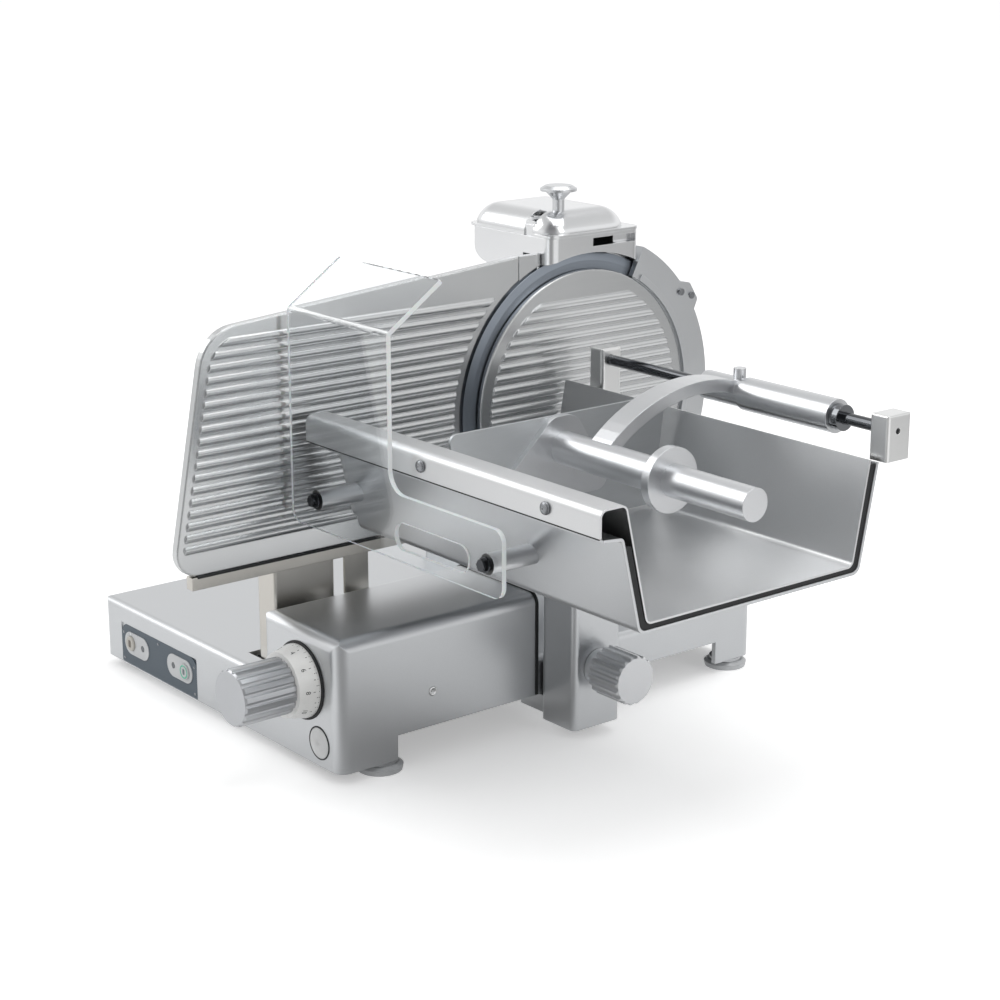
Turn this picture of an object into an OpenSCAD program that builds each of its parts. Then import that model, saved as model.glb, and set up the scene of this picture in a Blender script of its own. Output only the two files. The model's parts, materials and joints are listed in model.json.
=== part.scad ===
// Upright food slicer for the counter, with a round knife that stands on edge
// and a trough that slides past it. The operator stands at -Y and faces +Y.
// +X points to the operator's right, where the trough is open, and +Z points up.
// The origin is the middle of the machine's footprint, on the table.
// Working coordinates start at the knife: X from its plane, Y from its axis, Z from the table.

/* [Knife] */
// Diameter of the knife
knife_d = 330; // [322:1:334]
// Height of the knife's axis above the table
knife_z = 305; // [303:1:309]
// Thickness of the knife's body
knife_t = 4; // [3:0.5:4]
// Width of the bare steel that shows round the knife's cover
knife_band = 18; // [14:1:20]
// Diameter of the knife's hub
hub_d = 74; // [64:2:80]
// Diameter of the knife's hollow shaft
shaft_d = 20; // [18:1:22]
// Thickness of the knife's cover, without its ribs
cover_t = 5.5; // [4:0.5:6]

/* [Knife guard] */
// Wall of the guard ring
ring_wall = 17; // [14:1:18]
// Gap between the knife's edge and the ring
ring_gap = 2; // [1.5:0.5:4]
// Depth of the ring behind the knife's plane
ring_depth = 20; // [16:1:22]
// Angle round the axis at which the ring starts, past the top
ring_start = 63; // [58:1:66]
// Angle at which the ring ends, below the knife
ring_end = -112; // [-116:1:-100]

/* [Base] */
// Distance from the knife's plane to the base's left side
base_left = 330; // [320:1:345]
// Distance from the knife's plane to the base's right side
base_right = 138; // [134:1:138]
// Distance from the knife's axis to the base's front
base_front = 427; // [420:1:430]
// Distance from the knife's axis to the base's rear
base_rear = 143; // [138:1:150]
// Height of the deck's top
deck_z = 80; // [78:1:82]
// Width of the raised housing at the right
housing_w = 136; // [126:1:138]
// Length of the raised housing
housing_l = 251; // [240:1:254]
// Height of the raised housing's top
housing_z = 150; // [144:1:156]
// Wall of the base casting
base_wall = 6; // [4:0.5:7]
// Height of the skirt's lower edge between the legs
skirt_z = 38; // [36:1:41]
// Length of the front legs along the side
leg_front = 71; // [60:1:74]
// Length of the rear legs along the side
leg_rear = 57; // [50:1:60]
// Width of each leg across the side
leg_w = 42; // [36:1:46]
// Height of the feet under the legs
foot_h = 12; // [10:1:14]
// Diameter of the feet
foot_d = 48; // [40:1:50]

/* [Control panel] */
// Width of the dark panel
panel_w = 161; // [150:1:170]
// Height of the dark panel
panel_h = 46; // [44:1:52]
// Distance from the knife's plane to the panel's right end
panel_x = 129; // [126:1:134]
// Diameter of the two push buttons
button_d = 17; // [14:1:18]
// Travel of the push buttons
button_travel = 1.5; // [1:0.1:2]

/* [Thickness control] */
// Distance from the knife's plane to the knob's axis
dial_x = 73; // [70:1:76]
// Height of the knob's axis
dial_z = 95; // [92:1:98]
// Diameter of the graduated dial
dial_d = 76; // [70:1:78]
// Depth of the graduated dial
dial_t = 22; // [18:1:24]
// Diameter of the fluted knob
thick_knob_d = 58; // [50:1:60]
// Length of the fluted knob
thick_knob_l = 59; // [50:1:62]
// Number of flutes on the knobs
flutes = 18; // [14:1:22]
// Travel of the gauge plate
slice_max = 16; // [12:1:16]
// Turn of the knob over that travel, in degrees
dial_turn = 300; // [270:5:320]

/* [Gauge plate] */
// Thickness of the plate
plate_t = 9; // [7:0.5:10]
// Height of the plate's lower edge
plate_z = 198; // [194:1:202]
// Reach of the plate's lower front corner in front of the axis
plate_front = 524; // [516:1:528]
// Backward lean of the front edge up to the top corner
plate_lean = 45; // [36:1:52]
// Height of the top front corner
plate_front_top = 442; // [432:1:448]
// Height of the top edge at its rear end
plate_rear_top = 474; // [468:1:478]
// Distance of that rear end in front of the axis
plate_rear = 86; // [80:1:90]
// Pitch of the ribs on the plate and on the knife's cover
rib_pitch = 11.9; // [10:0.1:14]
// Height of the lowest rib
rib_z = 227; // [222:1:230]
// Number of ribs on the gauge plate
plate_ribs = 18; // [12:1:18]
// Width of a rib
rib_w = 8.6; // [6:0.2:9]
// Rise of a rib above its plate
rib_h = 2.6; // [1.5:0.1:2.8]

/* [Carriage] */
// Width of the column along the carriage's travel
column_w = 64; // [60:1:68]
// Distance of the column's front in front of the axis
column_front = 173; // [170:1:176]
// Thickness of the column across the travel
column_t = 54; // [50:1:58]
// Diameter of the slide rail
rail_d = 20; // [18:1:22]
// Diameter of the carriage's knob
lock_knob_d = 52; // [46:1:56]
// Length of the carriage's knob
lock_knob_l = 44; // [38:1:46]
// Height of the carriage's knob
lock_knob_z = 79; // [74:1:84]

/* [Trough] */
// Height of the tray's floor
tray_z = 232; // [230:1:234]
// Distance from the knife's plane to the trough's open end
trough_end = 456; // [440:1:470]
// Wall of the trough casting
trough_wall = 3; // [2.5:0.5:4]
// Sheet thickness of the tray
tray_t = 2; // [1.5:0.5:2.5]
// Height of the tray's right wall
tray_right_z = 335; // [328:1:338]
// Height of the folded rail at the tray's left edge
tray_rail_z = 347; // [342:1:350]
// Width of that folded rail
tray_rail_w = 31; // [26:1:34]

/* [Pusher] */
// Diameter of the pusher's rod
rod_d = 12; // [10:1:14]
// Height of the rod
rod_z = 362; // [360:1:366]
// Diameter of the sleeve on the rod
sleeve_d = 34; // [32:1:36]
// Length of the sleeve
sleeve_l = 122; // [100:1:124]
// Distance from the knife's plane to the pusher plate's face
pusher_x = 187; // [180:1:192]
// Diameter of the handle's tube
tube_d = 34; // [30:1:36]
// Height of the handle
handle_z = 319; // [316:1:322]
// Distance of the handle in front of the axis
handle_y = 187; // [180:1:194]
// Length of the grip past its guard disc
grip_l = 108; // [96:1:112]
// Diameter of the guard disc
disc_d = 64; // [58:1:68]
// Number of rows of spikes on the pusher plate
spike_rows = 3; // [2:1:4]

/* [Hand guard] */
// Thickness of the clear guard
guard_t = 5; // [4:0.5:6]
// Distance of the guard in front of the axis
guard_y = 387; // [384:1:390]
// Length of the guard's lower panel
guard_l = 337; // [320:1:340]
// Width of the guard's upright
guard_w = 166; // [150:1:175]
// Diameter of the guard's standoffs
standoff_d = 20; // [16:1:22]

/* [Sharpener] */
// Length of the sharpener across the knife
sharp_l = 139; // [130:1:142]
// Width of the sharpener along the knife
sharp_w = 131; // [124:1:134]
// Height of the sharpener's dome above its rim
dome_h = 26; // [25:1:28]
// Diameter of the mushroom knob
mushroom_d = 40; // [34:1:42]
// Travel of the plunger that lowers the stones
plunge = 4; // [3:0.5:5]

/* [Drive] */
// Diameter of the pulley on the knife's shaft
knife_pulley_d = 110; // [100:1:120]
// Diameter of the pulley on the motor's shaft
motor_pulley_d = 50; // [44:1:56]
// Height of the motor's axis
motor_z = 150; // [146:1:152]
// Diameter of the motor
motor_d = 118; // [110:1:122]
// Length of the motor
motor_l = 140; // [120:1:150]

/* [Clearances] */
// Radial clearance of a running fit
run_fit = 0.05; // [0.03:0.01:0.08]
// Clearance between pieces that move past each other
slip = 0.4; // [0.3:0.1:0.6]
// Clearance of a piece that drops into a hole
drop_fit = 0.2; // [0.1:0.1:0.3]

/* [Hidden] */
$fn = 64;
eps = 0.01;

// Knife and its cover
knife_r = knife_d / 2;
cover_r = knife_r - knife_band;
knife_face = knife_t / 2;
cover_back = knife_face + 0.7;
cover_face = cover_back + cover_t;
housing_face = -knife_face - 5;
hub_t = -housing_face - knife_face - 1;
tie_rod_d = 8;
shaft_bore = tie_rod_d + 1;

// Guard ring
ring_in = knife_r + ring_gap;
ring_r = ring_in + ring_wall;
ring_lip = cover_r + 1.5;
ring_face = cover_face + 1.5;
ring_back = -ring_depth;
ear_angle = 32;
ear_r = ring_r + 4;

// Base
base_z = foot_h;
housing_left = base_right - housing_w;
housing_rear = -base_front + housing_l;
plan_r = 14;
deck_edge = 8;
housing_edge = 12;
foot_inset = 18;
leg_post_d = 26;
leg_xs = [-base_left + foot_inset, base_right - foot_inset];
leg_ys = [-base_front + leg_front - foot_inset + 8, base_rear - foot_inset - 6];
stud_d = 10;
stud_hole = 18;

// Control panel
panel_low = base_z + 1;
panel_t = 1.5;
pad_xs = [-panel_x - panel_w + 34, -panel_x - 35];
pad_z = panel_low + panel_h / 2 + 3;
pad_w = 52;
pad_h = 26;
pad_rise = 0.8;
button_xs = [pad_xs[0] - 12, pad_xs[1] + 12];
lens_xs = [pad_xs[0] + 13, pad_xs[1] - 13];
lens_d = 7;
board_t = 1.4;
inlet_x = -base_left + 60;
inlet_z = 46;
inlet_d = 20;

// Drive
chamber_left = -66;
chamber_r = knife_pulley_d / 2 + 14;
housing_r = 100;
pedestal_front = -86;
pedestal_rear = 94;
web_t = 6;
web_back = -ring_depth - web_t - slip;
seat_x = -22;
post_left = -104;
post_y = 0;
post_w = 52;
bearing_d = 42;
bearing_t = 12;
pulley_x = -52;
pulley_t = 22;
motor_y = 12;
motor_shaft_d = 14;
motor_ratio = knife_pulley_d / motor_pulley_d;
belt_t = 3;
belt_cover_t = 6;
motor_right = chamber_left - belt_cover_t;
motor_cover_wall = 3;
motor_air = 6;
deflector_t = 1.6;
deflector_rear = -58;

// Gauge plate
plate_face = -1.5;
plate_back = plate_face - plate_t;
plate_gap = 2;
plate_corner = 45;
plate_toe = 25;
plate_rise = plate_front_top - plate_z;
plate_edge = sqrt(plate_rise * plate_rise + plate_lean * plate_lean);
rib_inset = 9;
rib_r = (rib_w * rib_w / 4 + rib_h * rib_h) / (2 * rib_h);
drip_h = 13;
carrier_front = -400;
carrier_rear = -324;
carrier_x = -46;
carrier_t = 32;
guide_d = 16;
guide_z = 56;
guide_y = (carrier_front + carrier_rear) / 2;
guide_xs = [-120, -4];

// Thickness control
back_ring_t = 2;
dial_shaft_d = 14;
cam_y = -352;
cam_t = 10;
cam_small = 20;
dial_bore = 24;
dial_shaft_l = base_front + cam_y + cam_t / 2 + 6;
follower_d = 14;
follower_x = dial_x - cam_small - follower_d / 2 - slip;

// Carriage
column_gap = 3;
column_x = base_right + column_gap;
column_right = column_x + column_t;
column_rear = -column_front + column_w;
column_foot = 13;
arm_top = skirt_z - 4;
arm_set = 9;
rail_x = 110;
rail_z = 57;
shoe_d = 33;
bush_d = 27;
bush_l = 20;
track_x = 40;
track_z = 62;
track_front = -322;
track_rear = 84;
track_t = deck_z - base_wall - track_z;
cover_z = skirt_z - 14;
cover_sheet = 2;
cover_right = 20;
cover_xs = [-240, 0];
cover_ys = [-296, 60];
roller_d = 24;
roller_w = 10;
pin_d = 6;
lock_shaft_d = 10;
lock_neck_l = 14;
lock_y = -column_front + column_w / 2;

// Trough
tray_x = 14;
trough_x = 38;
trough_gap = 8;
floor_gap = 5;
wall_out = trough_gap + tray_t / 2 + trough_wall / 2;
trough_z = tray_z - floor_gap - trough_wall;
trough_bend = 9;
tray_bend = 7;
flange_bend = 4;
pad_t = 11;
tray_left = -316;
tray_right = -50;
tray_lean_left = 26;
tray_lean_right = 18;
left_top_z = tray_rail_z - tray_t / 2;
flange_z = 316;
flange_w = 30;
tray_screw_xs = [202, 384];

// Pusher
rod_y = -10;
rod_left = 42;
rod_right = 462;
bracket_left = 40;
bracket_w = 22;
end_left = 446;
end_w = 23;
sleeve_x = 270;
hub_x = 212;
hub_l = sleeve_x - hub_x;
cap_w = 10;
bush_out = rod_d + 8;
pusher_t = 3;
arm_x = 236;
arm_w = 28;
arm_t = 13;
arm_ctrl = [[-handle_y - 2, handle_z + 8], [-handle_y + 35, handle_z + 46], [-handle_y + 112, handle_z + 72],
    [rod_y - 2, rod_z + 4]];
tube_x = pusher_x + 6;
disc_x = 340;
disc_t = 10;
tube_l = disc_x - tube_x;
plate_left = tray_left + 11;
plate_right = tray_right - 10;
pusher_low = tray_z + 6;
pusher_top = 352;
spike_l = 8;

// Hand guard
guard_x = 8;
guard_low = 240;
guard_shelf = 305;
guard_bend = 456;
flap_rise = 43;
flap_run = 62;
standoff_xs = [guard_x + 42, guard_x + 313];
standoff_z = 269;

// Sharpener
sharp_right = 14;
sharp_left = sharp_right - sharp_l;
sharp_front = -56;
sharp_rear = sharp_front + sharp_w;
sharp_low = 452.2;
sharp_rim = 491;
sharp_wall = 3;
sharp_cut = knife_r + 1.5;
sharp_plan_r = 12;
lid_rear = 62;
hollow_rear = 41;
lid_over = 6;
lid_rim_t = 3;
dome_reach = 28;
dome_side_r = 12;
dome_side_z = 4;
dome_k = dome_h - dome_side_z;
dome_across = dome_reach - dome_side_r;
dome_top_r = (dome_k * dome_k + dome_across * dome_across - dome_side_r * dome_side_r)
    / (2 * (dome_k - dome_side_r));
notch_x = -30;
notch_w = 14;
notch_l = 26;
stem_x = -13;
stem_y = -22;
stem_d = 13;
mushroom_top = sharp_rim + dome_h + 27;
mushroom_t = 6;
flare_h = 9;
yoke_z = 494.8;
yoke_t = 2.5;
stone_d = 22;
stone_t = 6;
stone_tilt = 20;
stone_pitch = 15;
stone_ys = [stem_y - stone_pitch, stem_y + stone_pitch];
stone_pin_d = 6;
stone_arm_x = 7;

// Row frame: middle of the footprint
toe_reach = -plate_front + plate_toe * (1 + plate_lean / plate_edge) * plate_edge / plate_rise - plate_toe;
mid_x = (end_left + end_w - base_left) / 2;
mid_y = (ring_r + toe_reach) / 2;

// Moves working coordinates to the part's own origin
module machine() {
    translate([-mid_x, -mid_y, 0]) children();
}

// Solid along X from a profile drawn in Y and Z
module x_prism(x0, x1) {
    translate([x0, 0, 0]) rotate([90, 0, 90]) linear_extrude(x1 - x0) children();
}

// Solid along Y from a profile drawn in X and Z
module y_prism(y0, y1) {
    translate([0, y1, 0]) rotate([90, 0, 0]) linear_extrude(y1 - y0) children();
}

// Solid along Z from a profile drawn in X and Y
module z_prism(z0, z1) {
    translate([0, 0, z0]) linear_extrude(z1 - z0) children();
}

// Round bar along X, Y or Z between two ends
module x_bar(x0, x1, d, y, z) {
    translate([x0, y, z]) rotate([0, 90, 0]) cylinder(h = x1 - x0, d = d);
}
module y_bar(y0, y1, d, x, z) {
    translate([x, y1, z]) rotate([90, 0, 0]) cylinder(h = y1 - y0, d = d);
}
module z_bar(z0, z1, d, x, y) {
    translate([x, y, z0]) cylinder(h = z1 - z0, d = d);
}

// Revolved solid about a line along X, from a profile drawn as radius and X
module x_turned(y, z) {
    translate([0, y, z]) rotate([90, 0, 90]) rotate_extrude() children();
}

// Rectangle between two corners, with round corners
module round_rect(p, q, r) {
    translate([p[0] + r, p[1]]) square([q[0] - p[0] - 2 * r, q[1] - p[1]]);
    translate([p[0], p[1] + r]) square([q[0] - p[0], q[1] - p[1] - 2 * r]);
    for (x = [p[0] + r, q[0] - r]) {
        for (y = [p[1] + r, q[1] - r]) translate([x, y]) circle(r);
    }
}

// Block between two corners, with round corners in plan and a round top edge
module soft_block(p, q, plan, edge) {
    intersection() {
        z_prism(p[2], q[2]) round_rect([p[0], p[1]], [q[0], q[1]], plan);
        y_prism(p[1], q[1]) round_rect([p[0], p[2] - 2 * edge], [q[0], q[2]], edge);
        x_prism(p[0], q[0]) round_rect([p[1], p[2] - 2 * edge], [q[1], q[2]], edge);
    }
}

// Points of an arc, for outlines that are drawn as one polygon
function arc(c, r, a0, a1, n) = [for (i = [0 : n]) let (a = a0 + (a1 - a0) * i / n) c + r * [cos(a), sin(a)]];

// Unit vector from a to b
function toward(a, b) = (b - a) / norm(b - a);

// Points that round the corner at b, between a and c
function corner(a, b, c, r, n) =
    let (u = toward(b, a), v = toward(b, c), half = acos(u * v) / 2,
         o = b + toward([0, 0], u + v) * r / sin(half),
         s = b + u * r / tan(half) - o, e = b + v * r / tan(half) - o,
         a0 = atan2(s[1], s[0]), raw = atan2(e[1], e[0]) - a0,
         turn = raw > 180 ? raw - 360 : raw < -180 ? raw + 360 : raw)
    arc(o, r, a0, a0 + turn, n);

// Band of width t along a line of points
module band(line, t) {
    last = len(line) - 1;
    side = [for (i = [0 : last])
        let (d = toward(line[max(i - 1, 0)], line[min(i + 1, last)])) t / 2 * [-d[1], d[0]]];
    polygon(concat([for (i = [0 : last]) line[i] + side[i]], [for (i = [last : -1 : 0]) line[i] - side[i]]));
}

// Line of points with its corners rounded to radius r
function bent(points, r) = let (last = len(points) - 1)
    concat([points[0]],
        [for (i = [1 : last - 1]) each corner(points[i - 1], points[i], points[i + 1], r, 10)],
        [points[last]]);

// Bent sheet of thickness t that follows a line of points, with bends of radius r at its middle
module sheet(points, t, r) {
    band(bent(points, r), t);
}

// Polygon whose corners are rounded, one radius each
module rounded(points, radii, n = 8) {
    k = len(points);
    polygon([for (i = [0 : k - 1])
        each radii[i] > 0
            ? corner(points[(i + k - 1) % k], points[i], points[(i + 1) % k], radii[i], n)
            : [points[i]]]);
}

// Knob with flutes round its side, standing on z = 0
module fluted_knob(d, l, groove = 2.4, collar = 6) {
    difference() {
        union() {
            cylinder(h = l - 2, d = d);
            translate([0, 0, l - 2]) cylinder(h = 2, d1 = d, d2 = d - 4);
        }
        for (i = [0 : flutes - 1]) {
            rotate(i * 360 / flutes) translate([d / 2 + groove * 0.35, 0, collar])
                cylinder(h = l, r = groove, $fn = 24);
        }
    }
}

// Hexagonal screw head with a washer, standing on z = 0
module hex_head(d, h) {
    cylinder(h = h * 0.3, d = d * 1.25);
    translate([0, 0, h * 0.3]) cylinder(h = h * 0.7, d = d, $fn = 6);
}

// Base and what it stands on

module base_shell() {
    soft_block([-base_left, -base_front, base_z], [base_right, base_rear, deck_z], plan_r, deck_edge);
    housing_block(0, base_z);
}

// The raised block with the dial: round at the front, cut square at the rear
module housing_block(inset, low) {
    intersection() {
        soft_block([housing_left + inset, -base_front + inset, low],
            [base_right - inset, housing_rear + 4 * plan_r, housing_z - inset], plan_r - inset / 2,
            housing_edge - inset / 2);
        translate([housing_left, -base_front, low]) cube([housing_w, housing_l - inset, housing_z - low]);
    }
}

module base_hollow() {
    w = base_wall;
    soft_block([-base_left + w, -base_front + w, base_z - 1], [base_right - w, base_rear - w, deck_z - w],
        plan_r - w / 2, deck_edge - w / 2);
    housing_block(w, base_z - 1);
}

module leg_posts() {
    for (x = leg_xs) {
        for (y = leg_ys) z_bar(base_z, deck_z - base_wall + eps, leg_post_d, x, y);
    }
}

module base_casting() color("#c4c6c8") machine() difference() {
    union() {
        difference() {
            base_shell();
            base_hollow();
            for (side = [-base_left - 1, base_right - leg_w]) {
                translate([side, -base_front + leg_front, base_z - 1])
                    cube([leg_w + 1, base_front + base_rear - leg_front - leg_rear, skirt_z - base_z + 1]);
            }
        }
        leg_posts();
        for (y = [-base_front + base_wall - 1, base_rear - base_wall - 11]) {
            y_bar(y, y + 12, rail_d + 12, rail_x, rail_z);
        }
        translate([track_x - 9, track_front - 2, track_z + track_t])
            cube([18, 12, housing_z - base_wall - track_z - track_t + 1]);
        for (x = cover_xs) {
            for (y = cover_ys) z_bar(cover_z + cover_sheet, deck_z - base_wall + 1, 14, x, y);
        }
        y_bar(-base_front + base_wall - 1, -base_front + base_wall + 17, dial_shaft_d + 16, dial_x, dial_z);
    }
    for (x = leg_xs) {
        for (y = leg_ys) z_bar(base_z - 1, base_z + stud_hole, stud_d + 2 * drop_fit, x, y);
    }
    y_bar(-base_front - 1, -base_front + 40, dial_shaft_d + 2 * run_fit, dial_x, dial_z);
    y_bar(-base_front + 2, base_rear - 2, rail_d, rail_x, rail_z);
    translate([carrier_x - slice_max - 2, carrier_front - 2, deck_z - base_wall - 1])
        cube([carrier_t + slice_max + 4, carrier_rear - carrier_front + 4, base_wall + 2]);
    translate([-panel_x - panel_w, -base_front - 1, panel_low]) cube([panel_w, 2.5, panel_h]);
    y_bar(base_rear - base_wall - 1, base_rear + 1, inlet_d + 2 * drop_fit, inlet_x, inlet_z);
    x_bar(base_right - base_wall - 1, base_right + 1, 6, -312, 75);
    for (x = button_xs) {
        y_bar(-base_front - 1, -base_front + base_wall + 1, button_d + 2 * drop_fit, x, pad_z);
    }
}

module bottom_cover() color("#8f9294") machine() difference() {
    z_prism(cover_z, cover_z + cover_sheet)
        round_rect([-base_left + leg_w + 4, -base_front + base_wall + slip],
            [cover_right, base_rear - base_wall - slip], 6);
    for (x = [-220 : 14 : -120]) translate([x, 20, 0]) cube([6, 70, skirt_z]);
}

module foot_pads() color("#2e2f31") machine() for (x = leg_xs) {
    for (y = leg_ys) translate([x, y, 0]) {
        cylinder(h = foot_h * 0.45, d1 = foot_d - 2, d2 = foot_d);
        translate([0, 0, foot_h * 0.45]) cylinder(h = foot_h * 0.2, d1 = foot_d, d2 = foot_d - 8);
    }
}

module foot_studs() color("#b9bbbd") machine() for (x = leg_xs) {
    for (y = leg_ys) {
        z_bar(foot_h * 0.65, foot_h - 0.3, foot_d - 12, x, y);
        z_bar(foot_h - 0.31, base_z + stud_hole - 1, stud_d, x, y);
    }
}

// Control panel

module pad_shape(x) {
    round_rect([x - pad_w / 2, pad_z - pad_h / 2], [x + pad_w / 2, pad_z + pad_h / 2], pad_h / 2 - 0.1);
}

module control_panel() color("#4d565f") machine() y_prism(-base_front, -base_front + panel_t) difference() {
    rounded([[-panel_x - panel_w, panel_low], [-panel_x, panel_low],
        [-panel_x, panel_low + panel_h], [-panel_x - panel_w, panel_low + panel_h]], [2, 2, 14, 14]);
    for (x = pad_xs) pad_shape(x);
}

module button_pads() color("#c9ccce") machine() for (i = [0, 1]) {
    difference() {
        y_prism(-base_front - pad_rise, -base_front + panel_t) pad_shape(pad_xs[i]);
        y_bar(-base_front - 2, -base_front + 3, button_d + 2 * drop_fit, button_xs[i], pad_z);
        y_bar(-base_front - 2, -base_front + 3, lens_d + 2 * drop_fit, lens_xs[i], pad_z);
    }
}

module indicator_lenses() color("#30343a") machine() for (x = lens_xs) {
    y_bar(-base_front - pad_rise, -base_front + panel_t, lens_d, x, pad_z);
}

module push_button(x) {
    translate([x, -base_front - button_travel - panel_t, pad_z]) rotate([-90, 0, 0]) {
        cylinder(h = 0.8, d1 = button_d - 1.6, d2 = button_d);
        translate([0, 0, 0.8]) cylinder(h = button_travel + 2.2, d = button_d);
    }
}

module stop_button() color("#a9a79f") machine() push_button(button_xs[0]);

module start_button() color("#3fae8a") machine() push_button(button_xs[1]);

module control_board() color("#2f6b4f") machine() {
    board_y = -base_front + base_wall + slip;
    board_low = cover_z + cover_sheet + 1;
    translate([-panel_x - panel_w + 4, board_y, board_low]) cube([panel_w - 8, board_t, 30]);
    for (x = button_xs) y_bar(-base_front + base_wall - 1, board_y + 0.1, 8, x, pad_z);
    translate([-panel_x - 106, board_y + board_t - 0.1, board_low + 2]) cube([30, 20, 24]);
    y_bar(board_y + board_t - 0.1, board_y + 22, 22, -panel_x - 40, board_low + 14);
}

module power_inlet() color("#2b2c2e") machine() translate([inlet_x, base_rear, inlet_z]) rotate([-90, 0, 0]) {
    difference() {
        union() {
            translate([0, 0, -base_wall - 6]) cylinder(h = 6, d = 30, $fn = 6);
            translate([0, 0, -base_wall]) cylinder(h = base_wall, d = inlet_d);
            cylinder(h = 7, d = 28, $fn = 6);
            translate([0, 0, 7]) cylinder(h = 11, d1 = 24, d2 = 18);
        }
        translate([0, 0, 4]) cylinder(h = 20, d = 9);
    }
}

// Knife, its housing and its drive

module housing_outline() {
    translate([0, knife_z]) circle(housing_r);
    polygon([[pedestal_front, deck_z], [pedestal_rear, deck_z], [pedestal_rear, deck_z + 60],
        [housing_r - 3, knife_z], [3 - housing_r, knife_z], [pedestal_front, deck_z + 60]]);
}

module chamber_outline() {
    translate([0, knife_z]) circle(chamber_r);
    translate([motor_y, motor_z]) circle(motor_pulley_d / 2 + 14);
    polygon([[-chamber_r, knife_z], [chamber_r, knife_z],
        [motor_y + motor_pulley_d / 2 + 14, motor_z], [motor_y - motor_pulley_d / 2 - 14, motor_z]]);
}

module ring_sector(r, a0, a1) {
    polygon(concat([[0, 0]], arc([0, 0], r * 1.5, a0, a1, 12)));
}

module knife_housing() color("#b5b8ba") machine() difference() {
    union() {
        x_prism(chamber_left, web_back + web_t) housing_outline();
        x_bar(web_back, housing_face, 2 * housing_r, 0, knife_z);
        x_prism(web_back, web_back + web_t) translate([0, knife_z]) intersection() {
            circle(ring_r - 2);
            ring_sector(ring_r, ring_end, ring_start);
        }
        translate([chamber_left + 2, post_y - post_w / 2, knife_z + housing_r - 20])
            cube([web_back - chamber_left - 2, post_w, sharp_low - knife_z - housing_r + 20]);
        translate([post_left, post_y - post_w / 2, sharp_low - 14]) cube([web_back - post_left, post_w, 14]);
    }
    x_prism(chamber_left - 1, pulley_x + pulley_t + 4) chamber_outline();
    x_bar(seat_x, housing_face + 1, bearing_d, 0, knife_z);
    x_bar(seat_x - 10, housing_face + 1, shaft_d + 8, 0, knife_z);
}

module guard_ring() color("#bfc2c4") machine() {
    difference() {
        translate([0, 0, knife_z]) union() {
            x_prism(ring_back, ring_face) intersection() {
                difference() {
                    circle(ring_r);
                    circle(ring_in);
                }
                ring_sector(ring_r, ring_end, ring_start);
            }
            x_prism(cover_back, ring_face) intersection() {
                difference() {
                    circle(ring_in + 1);
                    circle(ring_lip);
                }
                ring_sector(ring_r, ring_end, ring_start);
            }
            x_prism(ring_face - 1, ring_face + 2) intersection() {
                difference() {
                    circle(ring_lip + 7);
                    circle(ring_lip);
                }
                ring_sector(ring_r, ring_end, ring_start - 4);
            }
            x_prism(ring_back, ring_face - 3) difference() {
                rounded([ring_r * 0.92 * [cos(ear_angle + 14), sin(ear_angle + 14)],
                    (ear_r + 8) * [cos(ear_angle + 4), sin(ear_angle + 4)],
                    (ear_r + 8) * [cos(ear_angle - 3), sin(ear_angle - 3)],
                    ring_r * 0.92 * [cos(ear_angle - 10), sin(ear_angle - 10)]], [0, 6, 6, 0]);
                circle(ring_in + 2);
            }
        }
        ring_screw_places() translate([0, 0, -30]) cylinder(h = 60, d = 5);
    }
}

module ring_screw_places() {
    for (p = [[ring_r - 7, ear_angle + 5], [ear_r + 1, ear_angle]]) {
        translate([ring_face, p[0] * cos(p[1]), knife_z + p[0] * sin(p[1])]) rotate([0, 90, 0])
            translate([0, 0, p[0] > ring_r ? -3 : 0]) children();
    }
}

module ring_screws() color("#8e9194") machine() ring_screw_places() {
    cylinder(h = 2.5, d = 8, $fn = 24);
    translate([0, 0, -18]) cylinder(h = 18, d = 5);
}

module knife_bearings() color("#9da0a3") machine() {
    for (x = [seat_x, chamber_left - belt_cover_t]) {
        difference() {
            x_bar(x, x + bearing_t, bearing_d, 0, knife_z);
            x_bar(x - 1, x + bearing_t + 1, shaft_d + 2 * run_fit, 0, knife_z);
        }
    }
}

module belt_cover() color("#b0b3b5") machine() difference() {
    union() {
        x_prism(chamber_left - belt_cover_t, chamber_left) housing_outline();
        x_bar(chamber_left - belt_cover_t - 8, chamber_left, bearing_d + 16, 0, knife_z);
    }
    x_bar(chamber_left - belt_cover_t, chamber_left + 1, bearing_d, 0, knife_z);
    x_bar(chamber_left - belt_cover_t - 9, chamber_left + 1, shaft_d + 4, 0, knife_z);
    x_bar(chamber_left - belt_cover_t - 1, chamber_left + 1, motor_shaft_d + 8, motor_y, motor_z);
}

module knife_shaft() color("#a7aaad") machine() difference() {
    union() {
        x_bar(chamber_left - belt_cover_t - 6, -knife_face, shaft_d, 0, knife_z);
        x_bar(-knife_face - hub_t, -knife_face, hub_d, 0, knife_z);
        x_bar(-knife_face - 0.01, knife_face, hub_d / 2, 0, knife_z);
    }
    x_bar(chamber_left - 30, knife_face + 1, shaft_bore, 0, knife_z);
    knife_screw_places() translate([0, 0, -knife_face - 3 - drop_fit]) cylinder(h = 20, d = 5 + 2 * drop_fit);
}

// The knife is hollow ground: thick at the hub, thin behind the bevel at its edge
module knife() color("#6d747c") machine() difference() {
    x_turned(0, knife_z) polygon([[hub_d / 4, -knife_face], [hub_d / 2 + 6, -knife_face], [knife_r - 9, -1.2],
        [knife_r, 0], [knife_r - 9, 1.4], [cover_r - 4, 0.9], [hub_d / 2 + 6, knife_face],
        [hub_d / 4, knife_face]]);
    knife_screw_places() translate([0, 0, -10]) cylinder(h = 20, d = 5 + 2 * drop_fit);
}

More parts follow.
